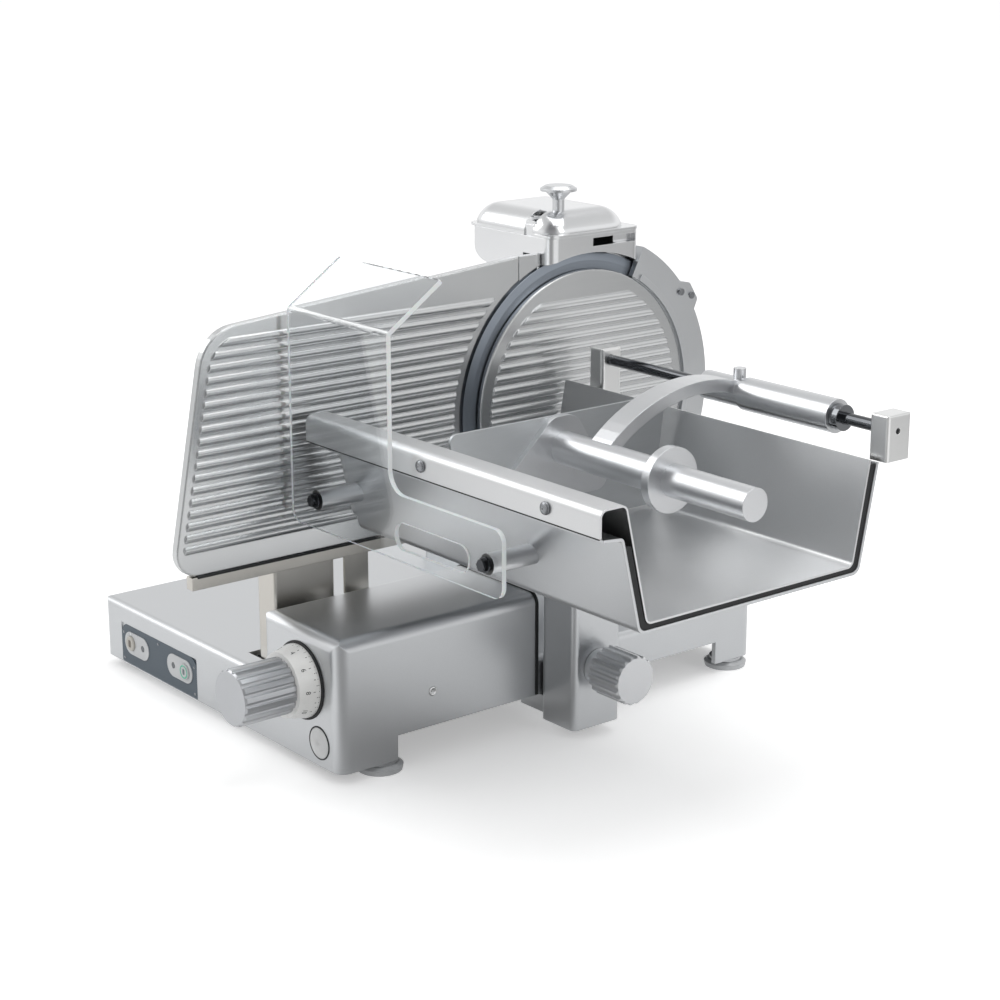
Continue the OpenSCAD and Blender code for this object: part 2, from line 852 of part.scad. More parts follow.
// Axes of the knife's screws; +Z there runs along +X
module knife_screw_places() {
    for (a = [45 : 90 : 315]) {
        translate([0, 0.36 * hub_d * cos(a), knife_z + 0.36 * hub_d * sin(a)]) rotate([0, 90, 0]) children();
    }
}

module knife_screws() color("#8e9194") machine() knife_screw_places() {
    translate([0, 0, -knife_face - 3]) cylinder(h = 2 * knife_face + 3, d = 5);
}

module knife_pulley() color("#9b9ea1") machine() difference() {
    x_turned(0, knife_z) difference() {
        translate([shaft_d / 2, pulley_x]) square([knife_pulley_d / 2 - shaft_d / 2, pulley_t]);
        for (i = [0 : 3]) {
            translate([knife_pulley_d / 2, pulley_x + 4 + i * 4.6]) rotate(45) square(1.8, center = true);
        }
    }
    for (a = [0 : 72 : 288]) {
        translate([pulley_x - 1, 34 * cos(a), knife_z + 34 * sin(a)]) rotate([0, 90, 0])
            cylinder(h = pulley_t + 2, d = 20);
    }
}

module belt_loop(extra) {
    r1 = knife_pulley_d / 2 + slip + extra;
    r2 = motor_pulley_d / 2 + slip + extra;
    c1 = [0, knife_z];
    c2 = [motor_y, motor_z];
    tilt = atan2(c2[1] - c1[1], c2[0] - c1[0]);
    wrap = acos((r1 - r2) / norm(c2 - c1));
    polygon(concat(arc(c1, r1, tilt + wrap, tilt + 360 - wrap, 40),
        arc(c2, r2, tilt - wrap, tilt + wrap, 24)));
}

module drive_belt() color("#26272a") machine() x_prism(pulley_x + 2, pulley_x + pulley_t - 2) difference() {
    belt_loop(belt_t);
    belt_loop(0);
}

module motor() color("#7c8084") machine() difference() {
    union() {
        x_bar(motor_right - motor_l, motor_right - 6, motor_d, motor_y, motor_z);
        x_bar(motor_right - 6, motor_right, motor_d - 20, motor_y, motor_z);
        translate([motor_right - motor_l + 14, motor_y - 40, deck_z]) cube([motor_l - 34, 80, 20]);
        for (a = [20 : 20 : 160]) {
            translate([motor_right - motor_l + 12, motor_y, motor_z]) rotate([a, 0, 0])
                translate([0, motor_d / 2 - 2, -1.5]) cube([motor_l - 30, 5, 3]);
        }
    }
    x_bar(motor_right - motor_l + 8, motor_right + 1, motor_shaft_d + 2 * run_fit, motor_y, motor_z);
}

module motor_rotor() color("#a7aaad") machine() {
    x_bar(motor_right - motor_l + 9, pulley_x + pulley_t, motor_shaft_d, motor_y, motor_z);
    x_turned(motor_y, motor_z) difference() {
        translate([motor_shaft_d / 2 - 0.01, pulley_x])
            square([motor_pulley_d / 2 - motor_shaft_d / 2, pulley_t]);
        for (i = [0 : 3]) {
            translate([motor_pulley_d / 2, pulley_x + 4 + i * 4.6]) rotate(45) square(1.8, center = true);
        }
    }
}

module motor_cover() color("#b9bcbe") machine() difference() {
    w = motor_cover_wall;
    p = [motor_right - motor_l - motor_air - w, motor_y - motor_d / 2 - motor_air - w, deck_z];
    q = [motor_right, motor_y + motor_d / 2 + motor_air + w, motor_z + motor_d / 2 + motor_air + w];
    soft_block(p, q, 12, 24);
    soft_block(p + [w, w, -1], [q[0] + 30, q[1] - w, q[2] - w], 10, 21);
    for (i = [0 : 5]) {
        translate([p[0] - 1, motor_y - 40 + i * 14, motor_z - 30]) cube([w + 2, 6, 50]);
    }
}

module knife_cover() color("#c9ccce") machine() union() {
    x_bar(cover_back, cover_face - 1, 2 * cover_r, 0, knife_z);
    translate([cover_face - 1, 0, knife_z]) rotate([0, 90, 0])
        cylinder(h = 1, r1 = cover_r, r2 = cover_r - 1);
    intersection() {
        ribs(cover_face, -cover_r, cover_r, 0, 30);
        x_bar(cover_face - 1, cover_face + 10, 2 * (cover_r - 14), 0, knife_z);
        translate([cover_face - 1, -cover_r, knife_z - cover_r])
            cube([20, 2 * cover_r, cover_r + rib_z + 16.5 * rib_pitch - knife_z]);
    }
    x_bar(chamber_left - belt_cover_t - 30, cover_back + 0.01, tie_rod_d, 0, knife_z);
}

module cover_knob() color("#3a3c3f") machine() difference() {
    union() {
        translate([chamber_left - belt_cover_t - 8 - slip, 0, knife_z]) rotate([0, -90, 0])
            fluted_knob(40, 26, 3, 5);
    }
    x_bar(chamber_left - 60, chamber_left, tie_rod_d + 2 * run_fit, 0, knife_z);
}

module slice_deflector() color("#b3b0aa") machine() {
    deflector_cone();
    deflector_tab();
}

module deflector_cone() intersection() {
    x_turned(0, knife_z)
        sheet([[housing_r + 8, deflector_rear], [housing_r + 26, -34], [knife_r - 8, -7]], deflector_t, 8);
    x_prism(-80, 0) translate([0, knife_z]) ring_sector(knife_r, 125, 208);
}

module deflector_tab() intersection() {
    x_turned(0, knife_z)
        sheet([[housing_r + 0.9, -50], [housing_r + 0.9, deflector_rear], [housing_r + 8, deflector_rear]],
            deflector_t, 2);
    x_prism(-80, 0) translate([0, knife_z]) ring_sector(knife_r, 150, 176);
}

// Ribs in a row up a face at x, between two places along Y
module ribs(x, y0, y1, first, last) {
    intersection() {
        union() {
            for (i = [first : last]) {
                y_bar(y0, y1, 2 * rib_r, x + rib_h - rib_r, rib_z + (i - 12) * rib_pitch);
            }
        }
        translate([x - 1, y0 - 1, 0]) cube([20, y1 - y0 + 2, 900]);
    }
}

// Thickness control

module thickness_dial() color("#eceded") machine() translate([dial_x, -base_front - back_ring_t, dial_z])
    rotate([90, 0, 0]) difference() {
        union() {
            cylinder(h = 3, d = dial_d);
            translate([0, 0, 3]) cylinder(h = dial_t - 3, d1 = dial_d, d2 = dial_d - 9);
        }
        translate([0, 0, -1]) cylinder(h = dial_t + 2, d = dial_bore);
    }

module thickness_knob() color("#bcbfc1") machine() translate([dial_x, -base_front, dial_z])
    rotate([90, 0, 0]) {
    translate([0, 0, dial_t + back_ring_t]) fluted_knob(thick_knob_d, thick_knob_l, 2.6, 0);
    translate([0, 0, back_ring_t]) cylinder(h = dial_t, d = dial_bore);
    translate([0, 0, -dial_shaft_l]) cylinder(h = dial_shaft_l + back_ring_t, d = dial_shaft_d);
}

// Spiral plate cam: its reach towards the follower grows by the plate's travel as the knob turns
module thickness_cam() color("#8a8d90") machine() difference() {
    y_prism(cam_y - cam_t / 2, cam_y + cam_t / 2) translate([dial_x, dial_z])
        polygon([for (i = [0 : 60])
            let (a = 180 + i * dial_turn / 60) (cam_small + slice_max * i / 60) * [cos(a), sin(a)]]);
    y_bar(cam_y - cam_t, cam_y + cam_t, dial_shaft_d, dial_x, dial_z);
}

module gauge_follower() color("#9b9ea1") machine() {
    arm_y = cam_y + cam_t / 2 + 2 * slip;
    y_bar(cam_y - cam_t / 2, arm_y + 6, follower_d, follower_x, dial_z);
    translate([follower_x - 7, arm_y, guide_z + 4]) cube([14, 8, dial_z - guide_z - 4]);
    x_bar(carrier_x + carrier_t, follower_x + 7, 8, arm_y + 4, guide_z + 8);
}

module gauge_rod() color("#a7aaad") machine() difference() {
    union() {
        x_bar(guide_xs[0], guide_xs[1], guide_d, guide_y, guide_z);
        for (x = guide_xs) {
            translate([x - 5, guide_y - 14, guide_z - 13]) cube([10, 28, deck_z - base_wall - guide_z + 13]);
        }
    }
    for (x = guide_xs) {
        for (y = [-11, 11]) z_bar(0, 200, 3, x, guide_y + y);
    }
}

// Gauge plate: its outline in Y and Z, with the hollow that follows the knife
module plate_outline(inset) {
    i = inset;
    difference() {
        rounded([[-plate_front + i, plate_z + i], [-60, plate_z + i],
            [-60, plate_rear_top - i], [-plate_rear, plate_rear_top - i],
            [-plate_front + plate_lean + i, plate_front_top - i]],
            [plate_toe - i / 2, 0, 0, 0, plate_corner - i / 2]);
        translate([0, knife_z]) circle(knife_r + plate_gap + inset);
        polygon([[-plate_rear - i, plate_rear_top + 1], [0, plate_rear_top + 1], [0, plate_z],
            [-plate_rear - i, knife_z]]);
    }
}

module gauge_plate() color("#c2c4c6") machine() {
    x_prism(plate_back, plate_face - 1) plate_outline(0);
    x_prism(plate_face - 1.01, plate_face) plate_outline(1);
    intersection() {
        ribs(plate_face, -plate_front, 0, 12, 11 + plate_ribs);
        x_prism(plate_face - 2, plate_face + 10) plate_outline(rib_inset);
    }
}

module gauge_carrier() color("#b7b4ae") machine() difference() {
    union() {
        soft_block([carrier_x, carrier_front, guide_z - 14],
            [carrier_x + carrier_t, carrier_rear, plate_z - drip_h], 4, 4);
        translate([plate_back, -plate_front + 20, plate_z - drip_h])
            cube([plate_t + 2, plate_front - 150, drip_h - 0.02]);
        translate([plate_back - 22, carrier_front, plate_z - drip_h - 0.01])
            cube([22, carrier_rear - carrier_front, 100]);
        translate([plate_back, -316, deck_z + 6]) cube([3, 30, plate_z - drip_h - deck_z - 6 + 1]);
    }
    x_bar(carrier_x - 1, carrier_x + carrier_t + 1, guide_d + 2 * run_fit, guide_y, guide_z);
    translate([plate_back - 23, carrier_front + 12, plate_z + 20])
        cube([16, carrier_rear - carrier_front - 24, 90]);
}

// Sharpener

module sharp_plan(inset) {
    round_rect([sharp_left + inset, sharp_front + inset], [sharp_right - inset, sharp_rear - inset],
        sharp_plan_r - inset);
}

module sharp_side(inset, low) {
    rounded([[sharp_left + inset, sharp_rim], [sharp_left + inset, low],
        [sharp_right - inset, low], [sharp_right - inset, sharp_rim]], [0, 34, 0, 0]);
}

// The body hugs the knife's edge with its outer walls and is open below, between them, for the stones
module sharpener_body() color("#bec1c3") machine() difference() {
    intersection() {
        z_prism(sharp_low, sharp_rim) sharp_plan(0);
        y_prism(sharp_front, sharp_rear) sharp_side(0, sharp_low);
    }
    intersection() {
        z_prism(sharp_low + sharp_wall, sharp_rim + 1) sharp_plan(sharp_wall);
        y_prism(sharp_front + sharp_wall, hollow_rear) sharp_side(sharp_wall, sharp_low + sharp_wall);
    }
    translate([-20, sharp_front + sharp_wall, sharp_low - 1])
        cube([20 + sharp_right - sharp_wall, hollow_rear - sharp_front - sharp_wall, sharp_wall + 2]);
    x_bar(-knife_t - 1, 60, 2 * sharp_cut, 0, knife_z);
    translate([sharp_right - 8, 5, sharp_rim - 13]) cube([20, sharp_rear - 8 - 5, 9]);
    translate([-32, sharp_front - 1, 466]) cube([18, 8, 6]);
}

// Half of the dome's section, from its flat top out to its foot: a wide arc that runs into a tight one
module dome_profile() {
    o = [dome_across, dome_side_z];
    c = [0, dome_h - dome_top_r];
    far = c + toward(c, o) * 2 * dome_top_r;
    intersection() {
        translate(c) circle(dome_top_r);
        polygon([c, far, [0, far[1] + dome_top_r]]);
        translate([0, -1]) square([dome_reach, dome_h + 1]);
    }
    intersection() {
        translate(o) circle(dome_side_r);
        translate([0, -1]) square([dome_reach, dome_h + 1]);
    }
    translate([0, -1]) square([dome_reach, dome_side_z + 1]);
    polygon([[0, 0], o, o + toward(c, o) * dome_side_r, [0, dome_h]]);
}

// Same, inside the wall, with a plain corner where the wall meets the roof
module hollow_profile() intersection() {
    translate([0, dome_h - dome_top_r]) circle(dome_top_r - sharp_wall);
    translate([0, -1]) square([dome_reach - sharp_wall, dome_h]);
}

// Dome with a flat top of the height, straight runs and corners turned from a profile
module dome(top) {
    p = [sharp_left - lid_over + dome_reach, sharp_front + dome_reach];
    q = [sharp_right - 1 - dome_reach, lid_rear - dome_reach];
    translate([0, 0, sharp_rim]) {
        translate([p[0], p[1], -1]) cube([q[0] - p[0], q[1] - p[1], top + 1]);
        for (c = [[q[0], q[1], 0], [p[0], q[1], 90], [p[0], p[1], 180], [q[0], p[1], 270]]) {
            translate([c[0], c[1], 0]) rotate(c[2]) rotate_extrude(angle = 90) children();
        }
        x_prism(p[0], q[0]) {
            translate([q[1], 0]) children();
            translate([p[1], 0]) mirror([1, 0]) children();
        }
        y_prism(p[1], q[1]) {
            translate([q[0], 0]) children();
            translate([p[0], 0]) mirror([1, 0]) children();
        }
    }
}

module sharpener_lid() color("#c8cbcd") machine() {
    difference() {
        union() {
            intersection() {
                dome(dome_h) dome_profile();
                translate([-300, -300, sharp_rim]) cube([600, 600, 2 * dome_h]);
            }
            z_prism(sharp_rim, sharp_rim + lid_rim_t)
                round_rect([sharp_left - lid_over, sharp_front], [sharp_right + 1, sharp_rear], sharp_plan_r);
        }
        dome(dome_h - sharp_wall) hollow_profile();
        z_bar(sharp_rim, sharp_rim + 60, stem_d + 2 * run_fit, stem_x, stem_y);
        translate([notch_x, sharp_front - 3, sharp_rim - 1]) cube([notch_w, notch_l, dome_h + 2]);
    }
    translate([notch_x - 1, sharp_front + 1.5, sharp_rim]) cube([notch_w + 2, 5, 12]);
    y_bar(sharp_front + 3, sharp_front + notch_l - 3, 6, notch_x + notch_w / 2, sharp_rim + 17);
    translate([notch_x - 1, sharp_front + 3, sharp_rim + 11]) cube([notch_w + 2, 4, 5]);
}

// Height of the middle of a stone's working face
function stone_z(side) = knife_z + sqrt(knife_r * knife_r - pow(stem_y + side * stone_pitch, 2)) + plunge
    + (stone_d / 2 - 3) * cos(stone_tilt) + slip * sin(stone_tilt);

// Frame of a stone: origin at the middle of its working face, +Z out of that face
module stone_frame(side) {
    back = (stone_d / 2 - 3) * sin(stone_tilt) - slip * cos(stone_tilt);
    translate([-side * back, stem_y + side * stone_pitch, stone_z(side)])
        rotate([0, side * (-90 - stone_tilt), 0]) children();
}

module sharpener_plunger() color("#c4c7c9") machine() difference() {
    union() {
        z_bar(yoke_z, mushroom_top - mushroom_t, stem_d, stem_x, stem_y);
        translate([stem_x, stem_y, mushroom_top - mushroom_t - flare_h])
            cylinder(h = flare_h + 0.01, d1 = stem_d, d2 = mushroom_d - 10);
        translate([stem_x, stem_y, mushroom_top - mushroom_t]) cylinder(h = 3, d = mushroom_d);
        translate([stem_x, stem_y, mushroom_top - 3]) cylinder(h = 3, d1 = mushroom_d, d2 = mushroom_d - 10);
        translate([-stone_arm_x - 2.5, stone_ys[0] - 4, yoke_z]) cube([8, 2 * stone_pitch + 8, yoke_t]);
        translate([-stone_arm_x - 2.5, stone_ys[1] - 4, yoke_z]) cube([2 * stone_arm_x + 5, 8, yoke_t]);
        for (side = [-1, 1]) {
            stone_frame(side) translate([0, 0, -12]) cylinder(h = 11, d = stone_pin_d);
            translate([side * stone_arm_x - 2.5, stem_y + side * stone_pitch - 4, stone_z(side) + 0.5])
                cube([5, 8, yoke_z - stone_z(side)]);
        }
    }
    z_bar(yoke_z - 5, mushroom_top - 12, 3, stem_x, stem_y);
}

module stone(side) {
    stone_frame(side) translate([0, 0, -stone_t]) difference() {
        cylinder(h = stone_t, d = stone_d);
        translate([0, 0, -1]) cylinder(h = stone_t + 2, d = stone_pin_d + 2 * run_fit);
    }
}

module grinding_stone() color("#8d6f5a") machine() stone(-1);

module deburring_stone() color("#c9c4b8") machine() stone(1);

// Carriage

module slide_rail() color("#b4b7ba") machine()
    y_bar(-base_front + 2.5, base_rear - 2.5, rail_d - 0.02, rail_x, rail_z);

module roller_track() color("#a7aaad") machine()
    translate([track_x - 5, track_front, track_z]) cube([10, track_rear - track_front, track_t]);

module carriage_column() color("#bdc0c2") machine() difference() {
    union() {
        soft_block([column_x, -column_front, column_foot],
            [column_right, column_rear, trough_z - pad_t], 7, 0.5);
        translate([rail_x - 12, arm_set - column_front, column_foot + 2])
            cube([column_x - rail_x + 20, column_w - 2 * arm_set, arm_top - column_foot - 2]);
        translate([rail_x - 12, arm_set - column_front, column_foot + 2])
            cube([24, column_w - 2 * arm_set, rail_z - column_foot - 2]);
        y_bar(-column_front, column_rear, shoe_d, rail_x, rail_z);
        translate([track_x + roller_w / 2 + 3, lock_y - 14, column_foot + 6])
            cube([rail_x - track_x - 10, 28, arm_top - column_foot + 4]);
        x_bar(track_x - roller_w / 2 - 3, track_x + 20, pin_d, lock_y, track_z - roller_d / 2 - slip);
    }
    y_bar(-column_front - 1, column_rear + 1, bush_d, rail_x, rail_z);
    x_bar(column_right - 30, column_right + 1, lock_shaft_d + 2 * run_fit, lock_y, lock_knob_z);
    translate([column_x + 8, -column_front + 8, column_foot - 1]) cube([column_t - 16, column_w - 16, 40]);
}

module carriage_bushes() color("#d8d3c0") machine() for (y = [-column_front, column_rear - bush_l]) {
    difference() {
        y_bar(y, y + bush_l, bush_d, rail_x, rail_z);
        y_bar(y - 1, y + bush_l + 1, rail_d + 2 * run_fit, rail_x, rail_z);
    }
}

module carriage_roller() color("#7d8083") machine() difference() {
    x_bar(track_x - roller_w / 2, track_x + roller_w / 2, roller_d, lock_y, track_z - roller_d / 2 - slip);
    x_bar(track_x - roller_w, track_x + roller_w, pin_d + 2 * run_fit, lock_y, track_z - roller_d / 2 - slip);
}

module carriage_knob() color("#c2c4c6") machine() {
    translate([column_right + slip + lock_neck_l, lock_y, lock_knob_z]) rotate([0, 90, 0])
        fluted_knob(lock_knob_d, lock_knob_l, 3.4, 0);
    x_bar(column_right + slip, column_right + slip + lock_neck_l, lock_knob_d - 14, lock_y, lock_knob_z);
    x_bar(column_right - 26, column_right + slip + 1, lock_shaft_d, lock_y, lock_knob_z);
}

// Trough casting, tray and their rail

function left_wall(z) = tray_left - tray_lean_left * (z - tray_z) / (tray_rail_z - tray_z);
function right_wall(z) = tray_right + tray_lean_right * (z - tray_z) / (tray_right_z - tray_z);

left_path = [[left_wall(flange_z) - wall_out - flange_w + 8, flange_z + 2],
    [left_wall(flange_z) - wall_out, flange_z],
    [left_wall(tray_z) - wall_out + 3, trough_z + trough_wall / 2]];
right_path = [[right_wall(tray_z) + wall_out - 3, trough_z + trough_wall / 2],
    [right_wall(tray_right_z) + wall_out, tray_right_z - 4]];

trough_line = [left_path[1] + 8 * toward(left_path[1], left_path[2]), left_path[2],
    right_path[0], right_path[1]];

// What lies inside the trough's outer faces
module trough_core() {
    trough_section();
    polygon(concat([left_path[1]], bent(trough_line, trough_bend), [right_path[1]]));
}

module trough_section() {
    band(concat([left_path[0]], corner(left_path[0], left_path[1], left_path[2], flange_bend, 8),
        bent(trough_line, trough_bend)), trough_wall);
}

module trough() color("#c0c3c5") machine() {
    x_prism(trough_x, trough_end) trough_section();
    for (x = [trough_x + 40, trough_end - 60]) {
        for (y = [left_wall(tray_z) + 40, right_wall(tray_z) - 40]) z_bar(trough_z + 1, tray_z, 16, x, y);
    }
    translate([column_x - 20, -column_front - 16, trough_z - pad_t])
        cube([column_t + 40, column_w + 32, pad_t + 1]);
}

module tray() color("#a9a7a3") machine() {
    x_prism(tray_x, trough_end) {
        sheet([[left_wall(left_top_z) - tray_rail_w + tray_t, left_top_z - 25],
            [left_wall(left_top_z) - tray_rail_w + tray_t, left_top_z],
            [left_wall(left_top_z), left_top_z],
            [left_wall(tray_z) + 1, tray_z + tray_t / 2],
            [right_wall(tray_z) - 1, tray_z + tray_t / 2],
            [right_wall(tray_right_z), tray_right_z]], tray_t, tray_bend);
    }
}

module tray_screws() color("#8e9194") machine() for (x = tray_screw_xs) {
    translate([x, left_wall(left_top_z) - tray_rail_w + tray_t / 2, left_top_z - 13]) rotate([90, 0, 0])
        cylinder(h = 2.5, d1 = 9, d2 = 7);
}

// Pusher

module pusher_rod() color("#55595e") machine() x_bar(rod_left, rod_right, rod_d, rod_y, rod_z);

module rod_brackets() color("#bfc2c4") machine() difference() {
    union() {
        soft_block([bracket_left, -22, 296], [bracket_left + bracket_w, 6, rod_z + 13], 4, 3);
        soft_block([end_left, -24, tray_right_z - 2], [end_left + end_w, 8, rod_z + 16], 3, 2);
    }
    x_bar(rod_left, rod_right, rod_d, rod_y, rod_z);
    x_bar(rod_right, rod_right + 20, 6, rod_y, rod_z);
    x_prism(trough_x, trough_end) trough_core();
}

module pusher_bushes() color("#d8d3c0") machine() difference() {
    union() {
        x_bar(hub_x + slip, sleeve_x + sleeve_l, bush_out, rod_y, rod_z);
        x_bar(sleeve_x + sleeve_l + slip, sleeve_x + sleeve_l + cap_w, 26, rod_y, rod_z);
    }
    x_bar(hub_x - 1, sleeve_x + sleeve_l + cap_w + 1, rod_d + 2 * run_fit, rod_y, rod_z);
}

// Points of a cubic curve with control points p
function curve(p, n) = [for (i = [0 : n]) let (t = i / n, u = 1 - t)
    u * u * u * p[0] + 3 * u * u * t * p[1] + 3 * u * t * t * p[2] + t * t * t * p[3]];

// The pusher's arm: a flat bar bent over from the handle to the rod
module arm_path() {
    band(curve(arm_ctrl, 16), arm_t);
}

module pusher_sleeve() color("#c6c9cb") machine() difference() {
    union() {
        x_bar(sleeve_x, sleeve_x + sleeve_l, sleeve_d, rod_y, rod_z);
        x_bar(hub_x, sleeve_x + 1, sleeve_d - 4, rod_y, rod_z);
        x_prism(arm_x, arm_x + arm_w) arm_path();
        z_bar(rod_z + 12, rod_z + 25, 13, hub_x + hub_l - 12, rod_y);
    }
    x_bar(hub_x - 1, sleeve_x + sleeve_l + 1, bush_out + 2 * run_fit, rod_y, rod_z);
    x_bar(tube_x - 10, disc_x + 10, tube_d + 0.02, -handle_y, handle_z);
}

module handle_tube() color("#cccfd1") machine() {
    x_bar(tube_x, tube_x + tube_l, tube_d, -handle_y, handle_z);
    x_bar(disc_x, disc_x + disc_t, disc_d, -handle_y, handle_z);
}

module handle_grip() color("#d2d4d6") machine() {
    x_bar(disc_x + disc_t, disc_x + disc_t + grip_l, tube_d - 2, -handle_y, handle_z);
}

module pusher_plate() color("#9b9892") machine() x_prism(pusher_x - pusher_t, pusher_x)
    rounded([[plate_left, pusher_low], [plate_right, pusher_low],
        [plate_right + tray_lean_right - 4, pusher_top], [plate_left - tray_lean_left + 4, pusher_top]],
        [12, 12, 8, 8]);

module plate_flange() color("#a9acae") machine() x_prism(pusher_x, tube_x)
    rounded([[-292, 268], [-118, 268], [-172, pusher_top], [-202, pusher_top]], [10, 14, 20, 20]);

module pusher_spikes() color("#a7aaad") machine() for (i = [0 : spike_rows - 1]) {
    for (y = [-270 : 34 : -100]) {
        translate([pusher_x - pusher_t, y + (i % 2) * 17, 256 + i * 30]) rotate([0, -90, 0])
            cylinder(h = spike_l, d1 = 5, d2 = 1, $fn = 24);
    }
}

// Hand guard

module hand_guard() color("#dfe9ee", 0.35) machine() difference() {
    union() {
        y_prism(-guard_y - guard_t / 2, -guard_y + guard_t / 2)
            rounded([[guard_x, guard_low], [guard_x + guard_l, guard_low], [guard_x + guard_l, guard_shelf],
                [guard_x + guard_w, guard_shelf], [guard_x + guard_w, guard_bend - 6],
                [guard_x, guard_bend - 6]], [12, 12, 12, 22, 0, 0]);
        x_prism(guard_x, guard_x + guard_w)
            sheet([[-guard_y, guard_bend - 12], [-guard_y, guard_bend],
                [-guard_y + flap_run, guard_bend + flap_rise]], guard_t, guard_t);
    }
    y_prism(-guard_y - guard_t, -guard_y + guard_t)
        round_rect([guard_x + 175, 252], [guard_x + 288, 279], 13);
    for (x = standoff_xs) y_bar(-guard_y - guard_t, -guard_y + guard_t, 6, x, standoff_z);
}

module guard_standoffs() color("#c4c7c9") machine() difference() {
    for (x = standoff_xs) y_bar(-guard_y + guard_t / 2, tray_left, standoff_d, x, standoff_z);
    x_prism(guard_x, trough_end) trough_core();
}

module guard_screws() color("#6f7377") machine() for (x = standoff_xs) {
    translate([x, -guard_y - guard_t / 2, standoff_z]) rotate([90, 0, 0]) hex_head(12, 6);
}

base_casting();
bottom_cover();
foot_pads();
foot_studs();
control_panel();
button_pads();
indicator_lenses();
stop_button();
start_button();
control_board();
power_inlet();
knife_housing();
guard_ring();
ring_screws();
knife_bearings();
belt_cover();
motor();
motor_cover();
drive_belt();
knife_shaft();
knife();
knife_screws();
knife_pulley();
motor_rotor();
knife_cover();
cover_knob();
slice_deflector();
thickness_dial();
thickness_knob();
thickness_cam();
gauge_plate();
gauge_carrier();
gauge_follower();
gauge_rod();
sharpener_body();
sharpener_lid();
sharpener_plunger();
grinding_stone();
deburring_stone();
slide_rail();
roller_track();
carriage_column();
carriage_bushes();
carriage_roller();
carriage_knob();
trough();
tray();
tray_screws();
pusher_rod();
rod_brackets();
pusher_bushes();
pusher_sleeve();
handle_tube();
handle_grip();
pusher_plate();
plate_flange();
pusher_spikes();
hand_guard();
guard_standoffs();
guard_screws();
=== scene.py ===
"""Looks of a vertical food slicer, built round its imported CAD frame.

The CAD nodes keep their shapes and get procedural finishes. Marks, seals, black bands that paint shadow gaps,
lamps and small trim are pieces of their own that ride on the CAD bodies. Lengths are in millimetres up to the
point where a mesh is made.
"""

import json
import logging
import math
from dataclasses import dataclass, field
from enum import Enum
from typing import Iterable, Sequence

import bmesh
import bpy
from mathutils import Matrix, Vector


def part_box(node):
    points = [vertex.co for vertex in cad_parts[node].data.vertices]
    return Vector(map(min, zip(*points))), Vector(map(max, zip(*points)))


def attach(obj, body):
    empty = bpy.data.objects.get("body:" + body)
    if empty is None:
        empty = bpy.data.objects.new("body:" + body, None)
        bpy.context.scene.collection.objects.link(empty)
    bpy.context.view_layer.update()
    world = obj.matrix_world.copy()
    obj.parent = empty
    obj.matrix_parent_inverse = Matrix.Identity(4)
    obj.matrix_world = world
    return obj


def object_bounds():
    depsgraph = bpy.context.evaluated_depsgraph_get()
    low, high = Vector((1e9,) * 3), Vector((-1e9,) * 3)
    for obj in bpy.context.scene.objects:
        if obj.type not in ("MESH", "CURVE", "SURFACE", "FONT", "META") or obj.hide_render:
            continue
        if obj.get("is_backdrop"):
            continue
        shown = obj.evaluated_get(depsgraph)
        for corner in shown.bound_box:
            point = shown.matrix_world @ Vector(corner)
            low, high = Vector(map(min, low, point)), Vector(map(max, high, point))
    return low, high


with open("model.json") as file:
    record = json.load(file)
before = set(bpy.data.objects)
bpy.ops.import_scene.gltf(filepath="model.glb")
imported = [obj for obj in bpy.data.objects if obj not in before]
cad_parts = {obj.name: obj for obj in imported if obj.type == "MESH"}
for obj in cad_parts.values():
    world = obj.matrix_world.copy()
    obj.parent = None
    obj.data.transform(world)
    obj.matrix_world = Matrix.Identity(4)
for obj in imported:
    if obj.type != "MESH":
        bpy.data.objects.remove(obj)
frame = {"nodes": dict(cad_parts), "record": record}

log = logging.getLogger("slicer_scene")

Points = Sequence[tuple[float, float]]

METRE = 1000.0
RIGHT = Vector((1, 0, 0))
BACK = Vector((0, 1, 0))
UP = Vector((0, 0, 1))
FORWARD = Vector((0, -1, 0))

BODIES: dict[str, list[str]] = frame["record"]["behaviour"]["bodies"]
BODY_OF: dict[str, str] = {node: body for body, nodes in BODIES.items() for node in nodes}
SLOT_OF: dict[str, str] = {part["node"]: part["material_slot"] for part in frame["record"]["subparts"]}


# Colours and finishes

# How much longer than wide a brushing mark is
BRUSH_STRETCH = 60.0
# Sums of the fine and the slow noise between which a finish goes from its shade to its main colour
COLOR_SPAN = (0.7, 1.3)
# Sums between which its roughness goes from low to high
ROUGH_SPAN = (0.6, 1.4)
# A face of the acrylic whose normal has less than this along Y is a sawn edge
SAWN_EDGE = 0.5
# How much of a sawn edge is drawn frosted white, which partly paints the bright highlight along the guard's
# edges
FROST_AND_HIGHLIGHT_SHARE = 0.95


def srgb(code: str) -> tuple[float, float, float, float]:
    """Turns a screen colour into the linear colour that shaders use.

    Args:
        code: A colour as "#rrggbb".

    Returns:
        Linear red, green, blue and an alpha of 1.
    """
    parts = [int(code[i : i + 2], 16) / 255 for i in (1, 3, 5)]
    linear = [c / 12.92 if c <= 0.04045 else ((c + 0.055) / 1.055) ** 2.4 for c in parts]
    return (*linear, 1.0)


WHITE = srgb("#ffffff")


class Grain(Enum):
    """How the fine pattern of a surface runs."""

    EVEN = "even"
    ALONG_Y = "along_y"
    ROUND_X = "round_x"


